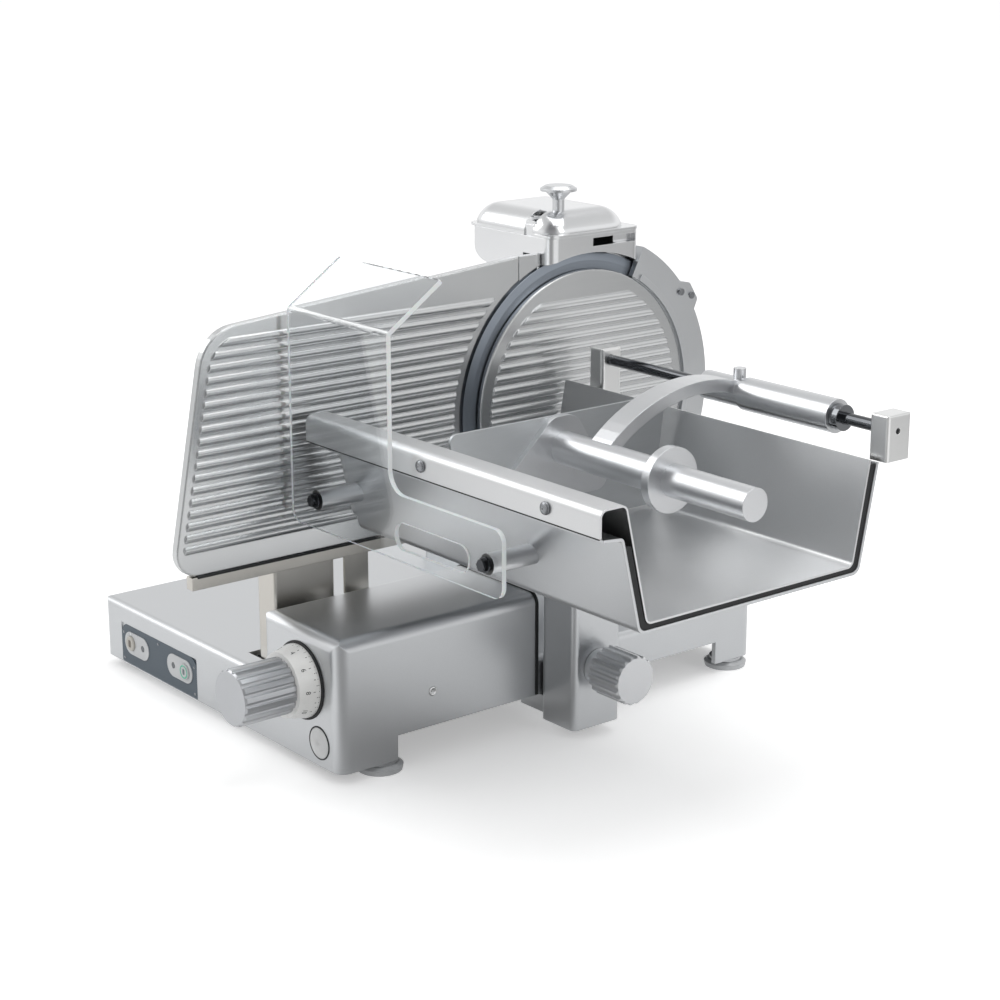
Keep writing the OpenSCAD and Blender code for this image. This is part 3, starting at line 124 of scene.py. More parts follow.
@dataclass(frozen=True)
class Finish:
    """One real material and the process that made its surface.

    Attributes:
        name: The material's name in Blender.
        color: Main colour.
        shade: Colour of the darker patches.
        metallic: 1 for bare metal, 0 for plastic, rubber and enamel.
        roughness: Mean roughness.
        spread: How far roughness wanders to each side.
        grain: Direction of the fine pattern.
        grain_mm: Width of one mark of the fine pattern.
        cloud_mm: Size of the slow patches of shade.
        bump_mm: Depth of the fine pattern.
        edge_mm: Radius that bare edges seem to have.
        coat: Weight of a clear coat.
    """

    name: str
    color: str
    shade: str
    metallic: float = 1.0
    roughness: float = 0.35
    spread: float = 0.05
    grain: Grain = Grain.EVEN
    grain_mm: float = 0.5
    cloud_mm: float = 60.0
    bump_mm: float = 0.02
    edge_mm: float = 0.6
    coat: float = 0.0


# Blasted, brushed, ground and moulded marks are about a tenth of a millimetre wide. That is too fine to show,
# so they are drawn several times as wide
FINISHES: dict[str, Finish] = {
    # Fine blasted skin that blurs every reflection
    "cast_aluminium": Finish("bead_blasted_cast_aluminium", "#cfd1d3", "#c9cbcd", roughness=0.34,
                             grain_mm=0.8, cloud_mm=140, bump_mm=0.006, edge_mm=1.2),
    # Satin turned bars and caps with long soft highlights
    "machined_aluminium": Finish("satin_turned_aluminium", "#d8d9db", "#d2d4d6", roughness=0.3,
                                 spread=0.02, grain_mm=0.8, cloud_mm=80, bump_mm=0.002, edge_mm=0.9),
    # Cool brushed sheet whose fine lines run along the fold
    "stainless_sheet": Finish("brushed_stainless_sheet", "#c4c7c9", "#bdc0c2", roughness=0.4, spread=0.03,
                              grain=Grain.ALONG_Y, grain_mm=0.6, cloud_mm=160, bump_mm=0.003, edge_mm=0.5),
    # Dark blue-grey steel with the grinding marks running round
    "knife_steel": Finish("ground_blade_steel", "#949ba4", "#8c939c", roughness=0.36, spread=0.02,
                          grain=Grain.ROUND_X, grain_mm=0.8, cloud_mm=120, bump_mm=0.001, edge_mm=0.4),
    # Drawn bright bar, nearly a mirror along its length
    "bright_steel": Finish("bright_drawn_steel", "#c4c5c7", "#bbbdbf", roughness=0.2, spread=0.02,
                           grain_mm=0.5, cloud_mm=60, bump_mm=0.002, edge_mm=0.4),
    # Ground rod that looks dark between its thin highlights
    "dark_steel_rod": Finish("blued_ground_rod_steel", "#6b6d70", "#5c5e61", roughness=0.12, spread=0.02,
                             grain=Grain.ROUND_X, grain_mm=0.8, cloud_mm=60, bump_mm=0.001, edge_mm=0.3),
    # Small bright fasteners, a little tarnished
    "screw_steel": Finish("zinc_plated_screw_steel", "#9c9ea1", "#8b8d90", roughness=0.26, grain_mm=0.3,
                          cloud_mm=6, bump_mm=0.006, edge_mm=0.4),
    # Slate film with a fine tooth
    "panel_film": Finish("textured_polyester_film", "#4d5963", "#48545e", metallic=0.0, roughness=0.45,
                         grain_mm=0.4, cloud_mm=30, bump_mm=0.006, edge_mm=0.3),
    # Pale film that stands over the switches
    "pad_grey": Finish("embossed_membrane_film", "#c9cbcc", "#c1c3c5", metallic=0.0, roughness=0.4,
                       grain_mm=0.4, cloud_mm=12, bump_mm=0.006, edge_mm=0.6),
    # Smoked window over an unlit lamp
    "lens_black": Finish("smoked_display_window", "#4a5258", "#3a4248", metallic=0.0, roughness=0.15,
                         grain_mm=0.6, cloud_mm=5, bump_mm=0.002, edge_mm=0.2, coat=0.6),
    # Warm grey cap
    "stop_cap": Finish("moulded_stop_button", "#bdbab2", "#b3b0a8", metallic=0.0, roughness=0.34,
                       grain_mm=0.3, cloud_mm=6, bump_mm=0.005, edge_mm=0.6),
    # Cool grey cap
    "start_cap": Finish("moulded_start_button", "#c4c7c7", "#bbbebe", metallic=0.0, roughness=0.34,
                        grain_mm=0.3, cloud_mm=6, bump_mm=0.005, edge_mm=0.6),
    # White acetal with a slight polish
    "dial_white": Finish("white_acetal_dial", "#f1f1ef", "#e9e9e7", metallic=0.0, roughness=0.3,
                         grain_mm=0.4, cloud_mm=20, bump_mm=0.003, edge_mm=0.6, coat=0.2),
    # Glass-filled nylon, dull black
    "black_plastic": Finish("moulded_black_nylon", "#2b2d30", "#232528", metallic=0.0, roughness=0.5,
                            grain_mm=0.6, cloud_mm=15, bump_mm=0.015, edge_mm=0.5),
    # Pressed bronze powder with open pores
    "bush_bronze": Finish("sintered_bronze_bush", "#b49a62", "#9c8350", roughness=0.4, grain_mm=0.5,
                          cloud_mm=8, bump_mm=0.01, edge_mm=0.3),
    # Dark elastomer
    "foot_rubber": Finish("moulded_foot_rubber", "#3a3b3d", "#303133", metallic=0.0, roughness=0.7,
                          grain_mm=0.5, cloud_mm=14, bump_mm=0.02, edge_mm=0.6),
    # Belt with its dusty black back
    "belt_rubber": Finish("ribbed_belt_rubber", "#232425", "#1a1b1c", metallic=0.0, roughness=0.65,
                          grain_mm=0.6, cloud_mm=14, bump_mm=0.02, edge_mm=0.3),
    # Sprayed enamel with a little orange peel
    "motor_paint": Finish("sprayed_motor_enamel", "#5f656b", "#565c62", metallic=0.0, roughness=0.45,
                          grain_mm=1.2, cloud_mm=40, bump_mm=0.02, edge_mm=0.8),
    # Green solder mask on glass laminate
    "board_green": Finish("solder_masked_board", "#2f6b4f", "#275c43", metallic=0.0, roughness=0.35,
                          grain_mm=1.0, cloud_mm=10, bump_mm=0.01, edge_mm=0.2),
    # Coarse bonded grit, drawn at the size of its lumps
    "coarse_stone": Finish("bonded_coarse_grit", "#8a6a58", "#745747", metallic=0.0, roughness=0.9,
                           grain_mm=0.5, cloud_mm=3, bump_mm=0.08, edge_mm=0.3),
    # Fine bonded grit
    "fine_stone": Finish("bonded_fine_grit", "#d0c9ba", "#bfb8a9", metallic=0.0, roughness=0.85,
                         grain_mm=0.4, cloud_mm=3, bump_mm=0.05, edge_mm=0.3),
}

# Anodised satin with soft shoulders on the ribs
RIBBED_PLATE = Finish("anodised_ribbed_plate", "#d2d3d4", "#cbcdce", roughness=0.25, spread=0.02,
                      grain=Grain.ALONG_Y, grain_mm=0.8, cloud_mm=180, bump_mm=0.0015, edge_mm=1.8)
# Buffed casting that mirrors the lamps softly, drawn lighter than the other castings to paint the sharpener's
# bright highlights
POLISHED_HIGHLIT_CASTING = Finish("buffed_cast_aluminium_painted_highlight", "#e6e7e8", "#e0e1e3", roughness=0.2, spread=0.02,
                          grain_mm=1.0, cloud_mm=90, bump_mm=0.002, edge_mm=1.0)
# Lighter brushed sheet of the tray, which mirrors itself from wall to wall
TRAY_SHEET = Finish("brushed_tray_sheet", "#dadbdc", "#d4d5d6", roughness=0.36, spread=0.03,
                    grain=Grain.ALONG_Y, grain_mm=0.6, cloud_mm=160, bump_mm=0.003, edge_mm=0.6)
# Milled blocks and bar, drawn lighter than the turned aluminium: their bright even face is painted light
MILLED_LIT_BLOCK = Finish("milled_aluminium_block_painted_light", "#ebebea", "#e5e6e6", roughness=0.3, spread=0.02,
                      grain_mm=0.7, cloud_mm=60, bump_mm=0.002, edge_mm=0.9)
# Warm grey drawn bar under the plate
CARRIER_BAR = Finish("drawn_carrier_bar", "#cbc8c2", "#c4c1bb", roughness=0.32, spread=0.02, grain_mm=0.7,
                     cloud_mm=60, bump_mm=0.002, edge_mm=0.9)
# Fluted knob, brushed a little darker than the castings
BRUSHED_KNOB = Finish("brushed_fluted_knob", "#bdbfc2", "#b7b9bc", roughness=0.34, spread=0.02,
                      grain_mm=0.7, cloud_mm=60, bump_mm=0.002, edge_mm=0.9)
# Dark screws that hold the clear guard
DARK_SCREW = Finish("blackened_socket_screw", "#4a4c4f", "#414346", roughness=0.2, spread=0.02,
                    grain_mm=0.4, cloud_mm=8, bump_mm=0.002, edge_mm=0.4)
# Chromed collar, dark where it mirrors the room
DARK_COLLAR = Finish("chromed_sleeve_collar", "#8d8f92", "#7c7e81", roughness=0.12, spread=0.02,
                     grain_mm=0.5, cloud_mm=30, bump_mm=0.001, edge_mm=0.6)
# Light grey elastomer of the feet
FOOT_GREY = Finish("moulded_grey_foot_rubber", "#c3c5c7", "#b7b9bb", metallic=0.0, roughness=0.36,
                   grain_mm=0.6, cloud_mm=18, bump_mm=0.006, edge_mm=1.0, coat=0.25)
# Ink of the dial's scale
PRINT_BLACK = Finish("screen_printed_black_ink", "#26282b", "#1f2124", metallic=0.0, roughness=0.5,
                     grain_mm=0.2, cloud_mm=4, bump_mm=0.002, edge_mm=0.05)
# Extruded black rubber of the real seals and joints, also used for black bands that paint shadow gaps
SEAL_AND_SHADE_BLACK = Finish("extruded_black_seal_and_painted_shade", "#1d1f21", "#161719", metallic=0.0, roughness=0.6, grain_mm=0.5,
                    cloud_mm=20, bump_mm=0.01, edge_mm=0.5)
# Clear green moulding round the start button's face
RING_GREEN = Finish("translucent_green_ring", "#4fc3a1", "#43b493", metallic=0.0, roughness=0.3,
                    grain_mm=0.3, cloud_mm=4, bump_mm=0.002, edge_mm=0.2, coat=0.3)
# Taupe print of the stop button's mark
MARK_TAUPE = Finish("printed_taupe_mark", "#6e675d", "#625b52", metallic=0.0, roughness=0.45, grain_mm=0.3,
                    cloud_mm=3, bump_mm=0.002, edge_mm=0.1)
# Grey print of the start button's mark
MARK_GREY = Finish("printed_grey_mark", "#6b757a", "#5f696e", metallic=0.0, roughness=0.45, grain_mm=0.3,
                   cloud_mm=3, bump_mm=0.002, edge_mm=0.1)
# Small lit window
LAMP_WHITE = Finish("frosted_lamp_window", "#f2f6f6", "#e6ecec", metallic=0.0, roughness=0.25,
                    grain_mm=0.2, cloud_mm=3, bump_mm=0.002, edge_mm=0.2)
# Bare badge under clear lacquer
BADGE_FACE = Finish("lacquered_badge_face", "#dcdddd", "#d3d4d4", metallic=0.0, roughness=0.3,
                    grain_mm=0.3, cloud_mm=12, bump_mm=0.003, edge_mm=0.4, coat=0.4)

# Nodes whose surface differs from the rest of their slot
SPECIAL: dict[str, Finish] = {
    "gauge_plate": RIBBED_PLATE,
    "knife_cover": RIBBED_PLATE,
    # Sharpener castings drawn lighter: partly painted highlight
    "sharpener_body": POLISHED_HIGHLIT_CASTING,
    "sharpener_lid": POLISHED_HIGHLIT_CASTING,
    "pusher_bushes": DARK_COLLAR,
    "foot_pads": FOOT_GREY,
    "tray": TRAY_SHEET,
    # Brackets in the lighter milled colour, which paints light on their faces
    "rod_brackets": MILLED_LIT_BLOCK,
    "gauge_carrier": CARRIER_BAR,
    "thickness_knob": BRUSHED_KNOB,
    "guard_screws": DARK_SCREW,
}


class Shader:
    """Writes the nodes of one material, or of the surroundings."""

    def __init__(self, tree: bpy.types.NodeTree) -> None:
        """Takes a node tree and empties it."""
        self.tree = tree
        self.tree.nodes.clear()

    def add(self, kind: str, inputs: dict | None = None, **settings: object) -> bpy.types.Node:
        """Adds one node.

        Args:
            kind: The node's Blender type, without "ShaderNode".
            inputs: Values, or sockets to link from, by input name or index.
            **settings: Properties of the node.

        Returns:
            The new node.
        """
        node = self.tree.nodes.new("ShaderNode" + kind)
        for key, value in settings.items():
            setattr(node, key, value)
        for key, value in (inputs or {}).items():
            if isinstance(value, bpy.types.NodeSocket):
                self.tree.links.new(value, node.inputs[key])
            else:
                node.inputs[key].default_value = value
        return node


def new_material(name: str) -> tuple[bpy.types.Material, Shader]:
    """Makes an empty material.

    Args:
        name: Its name.

    Returns:
        The material, and what writes its nodes.
    """
    material = bpy.data.materials.new(name)
    material.use_nodes = True
    return material, Shader(material.node_tree)


@dataclass
class FinishShop:
    """Makes each finish's material once and hands it out.

    Attributes:
        axis: The knife's centre, in metres, round which grinding marks run.
        made: The materials so far, by name.
    """

    axis: Vector
    made: dict[str, bpy.types.Material] = field(default_factory=dict)

    def get(self, finish: Finish) -> bpy.types.Material:
        """Returns the material of a finish, which is made at its first use.

        Args:
            finish: The finish.

        Returns:
            Its material.
        """
        if finish.name not in self.made:
            self.made[finish.name] = self.build(finish)
        return self.made[finish.name]

    def pattern_space(self, shader: Shader, finish: Finish) -> bpy.types.NodeSocket:
        """Adds the coordinates of a finish's fine pattern.

        Args:
            shader: Where the nodes go.
            finish: The finish.

        Returns:
            Coordinates in which the pattern's marks are one unit wide.
        """
        place = shader.add("TexCoord").outputs["Object"]
        fine = METRE / finish.grain_mm
        along = fine / BRUSH_STRETCH if finish.grain is Grain.ALONG_Y else fine
        if finish.grain is Grain.ROUND_X:
            moved = shader.add("VectorMath", {0: place, 1: self.axis}, operation="SUBTRACT").outputs[0]
            flat = shader.add("VectorMath", {0: moved, 1: (0, 1, 1)}, operation="MULTIPLY").outputs[0]
            radius = shader.add("VectorMath", {0: flat}, operation="LENGTH").outputs["Value"]
            depth = shader.add("SeparateXYZ", {0: moved}).outputs["X"]
            place = shader.add("CombineXYZ", {"X": depth, "Y": radius}).outputs[0]
        return shader.add("VectorMath", {0: place, 1: (fine, along, fine)}, operation="MULTIPLY").outputs[0]

    def build(self, finish: Finish) -> bpy.types.Material:
        """Writes a finish's material: clouded colour, wandering roughness and a fine bump.

        Args:
            finish: The finish.

        Returns:
            Its material.
        """
        material, shader = new_material(finish.name)
        space = self.pattern_space(shader, finish)
        fine = shader.add("TexNoise", {"Vector": space, "Scale": 1.0, "Detail": 3.0,
                                       "Roughness": 0.6}).outputs[0]
        place = shader.add("TexCoord").outputs["Object"]
        cloud = shader.add("TexNoise", {"Vector": place, "Scale": METRE / finish.cloud_mm,
                                        "Detail": 3.0}).outputs[0]
        mixed = shader.add("Math", {0: fine, 1: cloud}, operation="ADD").outputs[0]
        blend = shader.add("MapRange", {"Value": mixed, "From Min": COLOR_SPAN[0],
                                        "From Max": COLOR_SPAN[1]}).outputs[0]
        color = shader.add("Mix", {0: blend, 6: srgb(finish.shade), 7: srgb(finish.color)},
                           data_type="RGBA").outputs[2]
        rough = shader.add("MapRange", {"Value": mixed, "From Min": ROUGH_SPAN[0], "From Max": ROUGH_SPAN[1],
                                        "To Min": finish.roughness - finish.spread,
                                        "To Max": finish.roughness + finish.spread}).outputs[0]
        edge = shader.add("Bevel", {"Radius": finish.edge_mm / METRE}, samples=4).outputs[0]
        bump = shader.add("Bump", {"Height": fine, "Distance": finish.bump_mm / METRE, "Strength": 1.0,
                                   "Normal": edge}).outputs[0]
        surface = shader.add("BsdfPrincipled", {"Base Color": color, "Roughness": rough, "Normal": bump,
                                                "Metallic": finish.metallic, "Coat Weight": finish.coat})
        shader.add("OutputMaterial", {"Surface": surface.outputs[0]})
        return material

    def acrylic(self) -> bpy.types.Material:
        """Makes the clear cast acrylic of the hand guard, clear on its faces and frosted white on its sawn
        edges, which partly paints the bright highlight those edges show.

        Returns:
            The material.
        """
        material, shader = new_material("clear_cast_acrylic")
        coordinates = shader.add("TexCoord")
        haze = shader.add("TexNoise", {"Vector": coordinates.outputs["Object"], "Scale": 90.0,
                                       "Detail": 4.0}).outputs[0]
        rough = shader.add("MapRange", {"Value": haze, "To Min": 0.0, "To Max": 0.03}).outputs[0]
        glass = shader.add("BsdfPrincipled", {"Base Color": srgb("#f4f6f7"), "Roughness": rough,
                                              "Transmission Weight": 1.0, "IOR": 1.49}).outputs[0]
        frost_rough = shader.add("MapRange", {"Value": haze, "To Min": 0.25, "To Max": 0.4}).outputs[0]
        # Pale frost on the sawn edges, partly a painted highlight
        frost = shader.add("BsdfPrincipled", {"Base Color": srgb("#f8fafa"), "Roughness": frost_rough,
                                              "Subsurface Weight": 0.2}).outputs[0]
        way = shader.add("SeparateXYZ", {0: coordinates.outputs["Normal"]})
        across = shader.add("Math", {0: way.outputs["Y"]}, operation="ABSOLUTE").outputs[0]
        edge = shader.add("Math", {0: across, 1: SAWN_EDGE}, operation="LESS_THAN").outputs[0]
        share = shader.add("Math", {0: edge, 1: FROST_AND_HIGHLIGHT_SHARE}, operation="MULTIPLY").outputs[0]
        clear = shader.add("BsdfTransparent", {"Color": srgb("#f1f4f5")}).outputs[0]
        shadow = shader.add("LightPath").outputs["Is Shadow Ray"]
        solid = shader.add("MixShader", {0: share, 1: glass, 2: frost}).outputs[0]
        mixed = shader.add("MixShader", {0: shadow, 1: solid, 2: clear}).outputs[0]
        shader.add("OutputMaterial", {"Surface": mixed})
        return material


# Places on the CAD frame


def middle_of(node: str) -> Vector:
    """Returns the middle of a CAD node's box, in metres."""
    low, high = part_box(node)
    return (low + high) / 2


def front_of(node: str) -> Vector:
    """Returns the middle of the front of a CAD node's box, in metres."""
    middle = middle_of(node)
    return Vector((middle.x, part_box(node)[0].y, middle.z))


def half_size(node: str) -> Vector:
    """Returns half the sizes of a CAD node's box, in millimetres."""
    low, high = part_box(node)
    return (high - low) * METRE / 2


# Shapes

# Radius at which a turned section starts, because a face on the axis itself would have no width
TIP = 0.01


def swept(rings: Sequence[Sequence[Vector]], closed: bool = False) -> bmesh.types.BMesh:
    """Skins a row of rings.

    Args:
        rings: Rings with as many points each, in metres.
        closed: Whether the last ring meets the first. If not, both ends get a face.

    Returns:
        The mesh, in metres.
    """
    mesh = bmesh.new()
    made = [[mesh.verts.new(point) for point in ring] for ring in rings]
    following = made[1:] + made[:1] if closed else made[1:]
    for here, there in zip(made, following):
        for j in range(len(here)):
            k = (j + 1) % len(here)
            mesh.faces.new((here[j], there[j], there[k], here[k]))
    if not closed:
        mesh.faces.new(made[0])
        mesh.faces.new(reversed(made[-1]))
    return mesh


def turned(section: Points, base: Vector, axis: Vector, steps: int = 96) -> bmesh.types.BMesh:
    """Turns a closed section round an axis.

    Args:
        section: Pairs of radius and distance along the axis, in millimetres.
        base: The axis's starting point, in metres.
        axis: The axis's direction, of length one.
        steps: Number of segments round the axis.

    Returns:
        The mesh, in metres.
    """
    side = axis.orthogonal().normalized()
    other = axis.cross(side)
    rings = []
    for i in range(steps):
        angle = 2 * math.pi * i / steps
        out = side * math.cos(angle) + other * math.sin(angle)
        rings.append([base + (out * r + axis * d) / METRE for r, d in section])
    return swept(rings, closed=True)


def plate(outline: Points, low: float, high: float, base: Vector, u: Vector, v: Vector) -> bmesh.types.BMesh:
    """Makes a plate from an outline.

    Args:
        outline: Points along u and v, in millimetres.
        low: Where the plate starts along its normal, in millimetres.
        high: Where it ends.
        base: The outline's origin, in metres.
        u: Direction of the first axis.
        v: Direction of the second axis.

    Returns:
        The mesh, in metres.
    """
    normal = u.cross(v)
    return swept([[base + (u * a + v * b + normal * depth) / METRE for a, b in outline]
                  for depth in (low, high)])


def arc_band(inner: float, outer: float, start: float, end: float, centre: Vector, thick: float,
             steps: int = 72) -> bmesh.types.BMesh:
    """Makes a flat upright band that follows part of a circle.

    Args:
        inner: Inner radius in millimetres.
        outer: Outer radius.
        start: First angle in degrees, counted from the rear upwards.
        end: Last angle.
        centre: Centre of the band's left face, in metres.
        thick: Its thickness in millimetres.
        steps: Number of segments.

    Returns:
        The mesh, in metres.
    """
    rings = []
    for i in range(steps + 1):
        angle = math.radians(start + (end - start) * i / steps)
        ray = BACK * math.cos(angle) + UP * math.sin(angle)
        corners = ((inner, 0.0), (outer, 0.0), (outer, thick), (inner, thick))
        rings.append([centre + (ray * r + RIGHT * d) / METRE for r, d in corners])
    return swept(rings)


def arc_points(half_width: float, half_height: float, first: float, last: float, steps: int) -> Points:
    """Works out points on part of an ellipse round the origin.

    Args:
        half_width: Its size along the first axis.
        half_height: Its size along the second axis.
        first: Angle of the first point, in radians.
        last: Angle of the last point.
        steps: Number of segments.

    Returns:
        The points.
    """
    angles = [first + (last - first) * i / steps for i in range(steps + 1)]
    return [(half_width * math.cos(angle), half_height * math.sin(angle)) for angle in angles]


def rounded_outline(width: float, height: float, radius: float, steps: int = 8) -> Points:
    """Works out a rectangle with round corners, centred on the origin.

    Args:
        width: Size along the first axis.
        height: Size along the second axis.
        radius: Corner radius.
        steps: Segments in each corner.

    Returns:
        Its points.
    """
    points = []
    for corner, (sx, sy) in enumerate(((1, 1), (-1, 1), (-1, -1), (1, -1))):
        cx, cy = sx * (width / 2 - radius), sy * (height / 2 - radius)
        start = math.radians(90 * corner)
        points += [(cx + x, cy + y) for x, y in arc_points(radius, radius, start, start + math.pi / 2, steps)]
    return points


def bent_line(points: Points, radius: float, steps: int = 8) -> Points:
    """Rounds the corners of a line.

    Args:
        points: The line's ends and corners.
        radius: Radius of each corner.
        steps: Segments in each corner.

    Returns:
        The points of the rounded line.
    """
    line = [points[0]]
    for a, b, c in zip(points, points[1:], points[2:]):
        corner = Vector(b)
        to_a, to_c = (Vector(a) - corner).normalized(), (Vector(c) - corner).normalized()
        half = math.acos(to_a.dot(to_c)) / 2
        reach = radius / math.tan(half)
        middle = corner + (to_a + to_c).normalized() * radius / math.sin(half)
        first, last = corner + to_a * reach - middle, corner + to_c * reach - middle
        turn = first.angle_signed(last)
        for i in range(steps + 1):
            angle = -turn * i / steps
            line.append((middle.x + first.x * math.cos(angle) - first.y * math.sin(angle),
                         middle.y + first.x * math.sin(angle) + first.y * math.cos(angle)))
    line.append(points[-1])
    return line


def beside(line: Points, gap: float) -> Points:
    """Moves a line sideways.

    Args:
        line: The line's points.
        gap: How far it moves, to its right when positive.

    Returns:
        The points of the line beside it.
    """
    moved = []
    for i, here in enumerate(line):
        way = (Vector(line[min(i + 1, len(line) - 1)]) - Vector(line[max(i - 1, 0)])).normalized()
        moved.append((here[0] + way.y * gap, here[1] - way.x * gap))
    return moved


def lettering(text: str, height: float) -> tuple[Points, list[list[int]]]:
    """Writes a number flat, centred on the origin.

    Args:
        text: The figures to write.
        height: Height of a figure in millimetres.

    Returns:
        Its points in millimetres, and its faces as places in that list.
    """
    curve = bpy.data.curves.new("figures", "FONT")
    curve.body = text
    curve.align_x = "CENTER"
    curve.align_y = "CENTER"
    curve.size = height
    thing = bpy.data.objects.new("figures", curve)
    mesh = bpy.data.meshes.new_from_object(thing)
    points = [(v.co.x, v.co.y) for v in mesh.vertices]
    faces = [list(p.vertices) for p in mesh.polygons]
    bpy.data.objects.remove(thing)
    bpy.data.meshes.remove(mesh)
    bpy.data.curves.remove(curve)
    return points, faces


def joined(meshes: Iterable[bmesh.types.BMesh]) -> bmesh.types.BMesh:
    """Puts several meshes into one.

    Args:
        meshes: The meshes, which this call frees.

    Returns:
        The one mesh.
    """
    whole = bmesh.new()
    for mesh in meshes:
        data = bpy.data.meshes.new("part")
        mesh.to_mesh(data)
        mesh.free()
        whole.from_mesh(data)
        bpy.data.meshes.remove(data)
    return whole


# Pieces


@dataclass
class Workshop:
    """Makes pieces, dresses them and hangs them on the CAD bodies.

    Attributes:
        finishes: Where materials come from.
        centre: The knife's centre in the row frame, in metres, from which machine places are counted.
    """

    finishes: FinishShop
    centre: Vector

    def at(self, x: float, y: float, z: float) -> Vector:
        """Finds a machine place in the row frame.

        Args:
            x: Distance to the right of the knife's plane, in millimetres.
            y: Distance behind the knife's axis.
            z: Height over the table.

        Returns:
            The point, in metres.
        """
        return Vector((self.centre.x + x / METRE, self.centre.y + y / METRE, z / METRE))

    def piece(self, name: str, mesh: bmesh.types.BMesh, finish: Finish, node: str,
              smooth: bool = True) -> None:
        """Turns a mesh into a piece that rides with a CAD node's body.

        Args:
            name: Name of the piece.
            mesh: Its mesh in the row frame, in metres, which this call frees.
            finish: What its surface is.
            node: The CAD node that carries it.
            smooth: Whether its faces are shaded smooth.
        """
        bmesh.ops.recalc_face_normals(mesh, faces=mesh.faces)
        data = bpy.data.meshes.new(name)
        mesh.to_mesh(data)
        mesh.free()
        for face in data.polygons:
            face.use_smooth = smooth
        thing = bpy.data.objects.new(name, data)
        bpy.context.scene.collection.objects.link(thing)
        data.materials.append(self.finishes.get(finish))
        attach(thing, BODY_OF[node])
        log.info("%s is on %s", name, node)


@dataclass
class DialMarks:
    """Ticks and plain figures printed round the thickness dial.

    Attributes:
        shop: Where pieces are made.
        turn: Degrees over which the scale runs.
        first: Degrees from the dial's top to the first tick.
        steps: Number of whole steps on the scale.
        ink: Thickness of the print.
        straight: Depth of the dial's straight rear part, in front of which it narrows.
        slope: How much smaller its radius is at the front.
        tick_width: Width of a tick.
        tick_lengths: Length of a tick at a figure, at the other whole steps and at half steps.
        tick_rear: Distance from the dial's rear to the ticks.
        figure_height: Height of a figure.
        figure_place: Distance from the dial's rear to the figures' middle.
    """

    shop: Workshop
    turn: float = 300.0
    first: float = -60.0
    steps: int = 16
    ink: float = 0.12
    straight: float = 3.0
    slope: float = 4.5
    tick_width: float = 0.6
    tick_lengths: tuple[float, float, float] = (6.5, 4.5, 3.0)
    tick_rear: float = 1.5
    figure_height: float = 7.0
    figure_place: float = 13.5

    def build(self) -> None:
        """Makes the scale on the dial's sloping rim."""
        mesh = bmesh.new()
        half = self.tick_width / 2
        for i in range(self.steps * 2 + 1):
            angle = math.radians(self.first + self.turn * i / (2 * self.steps))
            length = self.tick_lengths[0 if i % 4 == 0 else 1 if i % 2 == 0 else 2]
            tick = [(-half, -length / 2), (half, -length / 2), (half, length / 2), (-half, length / 2)]
            self.print_on(mesh, tick, [[0, 1, 2, 3]], angle, self.tick_rear + length / 2)
            if i % 4 == 0:
                points, faces = lettering(str(i // 2), self.figure_height)
                self.print_on(mesh, points, faces, angle, self.figure_place)
        self.shop.piece("dial_scale", mesh, PRINT_BLACK, "thickness_dial")

    def print_on(self, mesh: bmesh.types.BMesh, points: Points, faces: list[list[int]], angle: float,
                 along: float) -> None:
        """Wraps a flat shape round the dial.

        Args:
            mesh: Where the shape goes.
            points: The shape's points, round the dial and towards its rear, in millimetres.
            faces: Its faces, as places in that list.
            angle: Where its middle stands, in radians from the dial's top.
            along: Where its middle stands, in millimetres from the dial's rear.
        """
        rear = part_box("thickness_dial")[1].y
        middle = middle_of("thickness_dial")
        half = half_size("thickness_dial")
        outer, depth = half.x, half.y * 2
        for face in faces:
            corners = []
            for x, y in (points[i] for i in face):
                front = along - y
                share = max(0.0, (front - self.straight) / (depth - self.straight))
                radius = (outer - self.slope * share + self.ink) / METRE
                way = angle + x / (outer - self.slope / 2)
                corners.append(mesh.verts.new((middle.x + radius * math.sin(way), rear - front / METRE,
                                               middle.z + radius * math.cos(way))))
            mesh.faces.new(corners)


@dataclass
class DialSeat:
    """The black ring between the thickness dial and the casting.

    Attributes:
        shop: Where pieces are made.
        proud: How far it shows round the dial.
        width: Its width.
        thick: Its thickness, less than the space behind the dial.
        sunk: How far it reaches into the casting.
        side: Height of its side, under a chamfer.
        chamfer: Width of that chamfer.
    """

    shop: Workshop
    proud: float = 2.6
    width: float = 16.0
    thick: float = 1.6
    sunk: float = 0.2
    side: float = 0.96
    chamfer: float = 0.7

    def build(self) -> None:
        """Makes the ring on the front of the casting."""
        base = middle_of("thickness_dial")
        base.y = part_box("base_casting")[0].y
        outer = half_size("thickness_dial").x + self.proud
        inner = outer - self.width
        section = [(inner, -self.sunk), (outer, -self.sunk), (outer, self.side),
                   (outer - self.chamfer, self.thick), (inner, self.thick)]
        self.shop.piece("dial_seat_ring", turned(section, base, FORWARD), SEAL_AND_SHADE_BLACK, "base_casting")


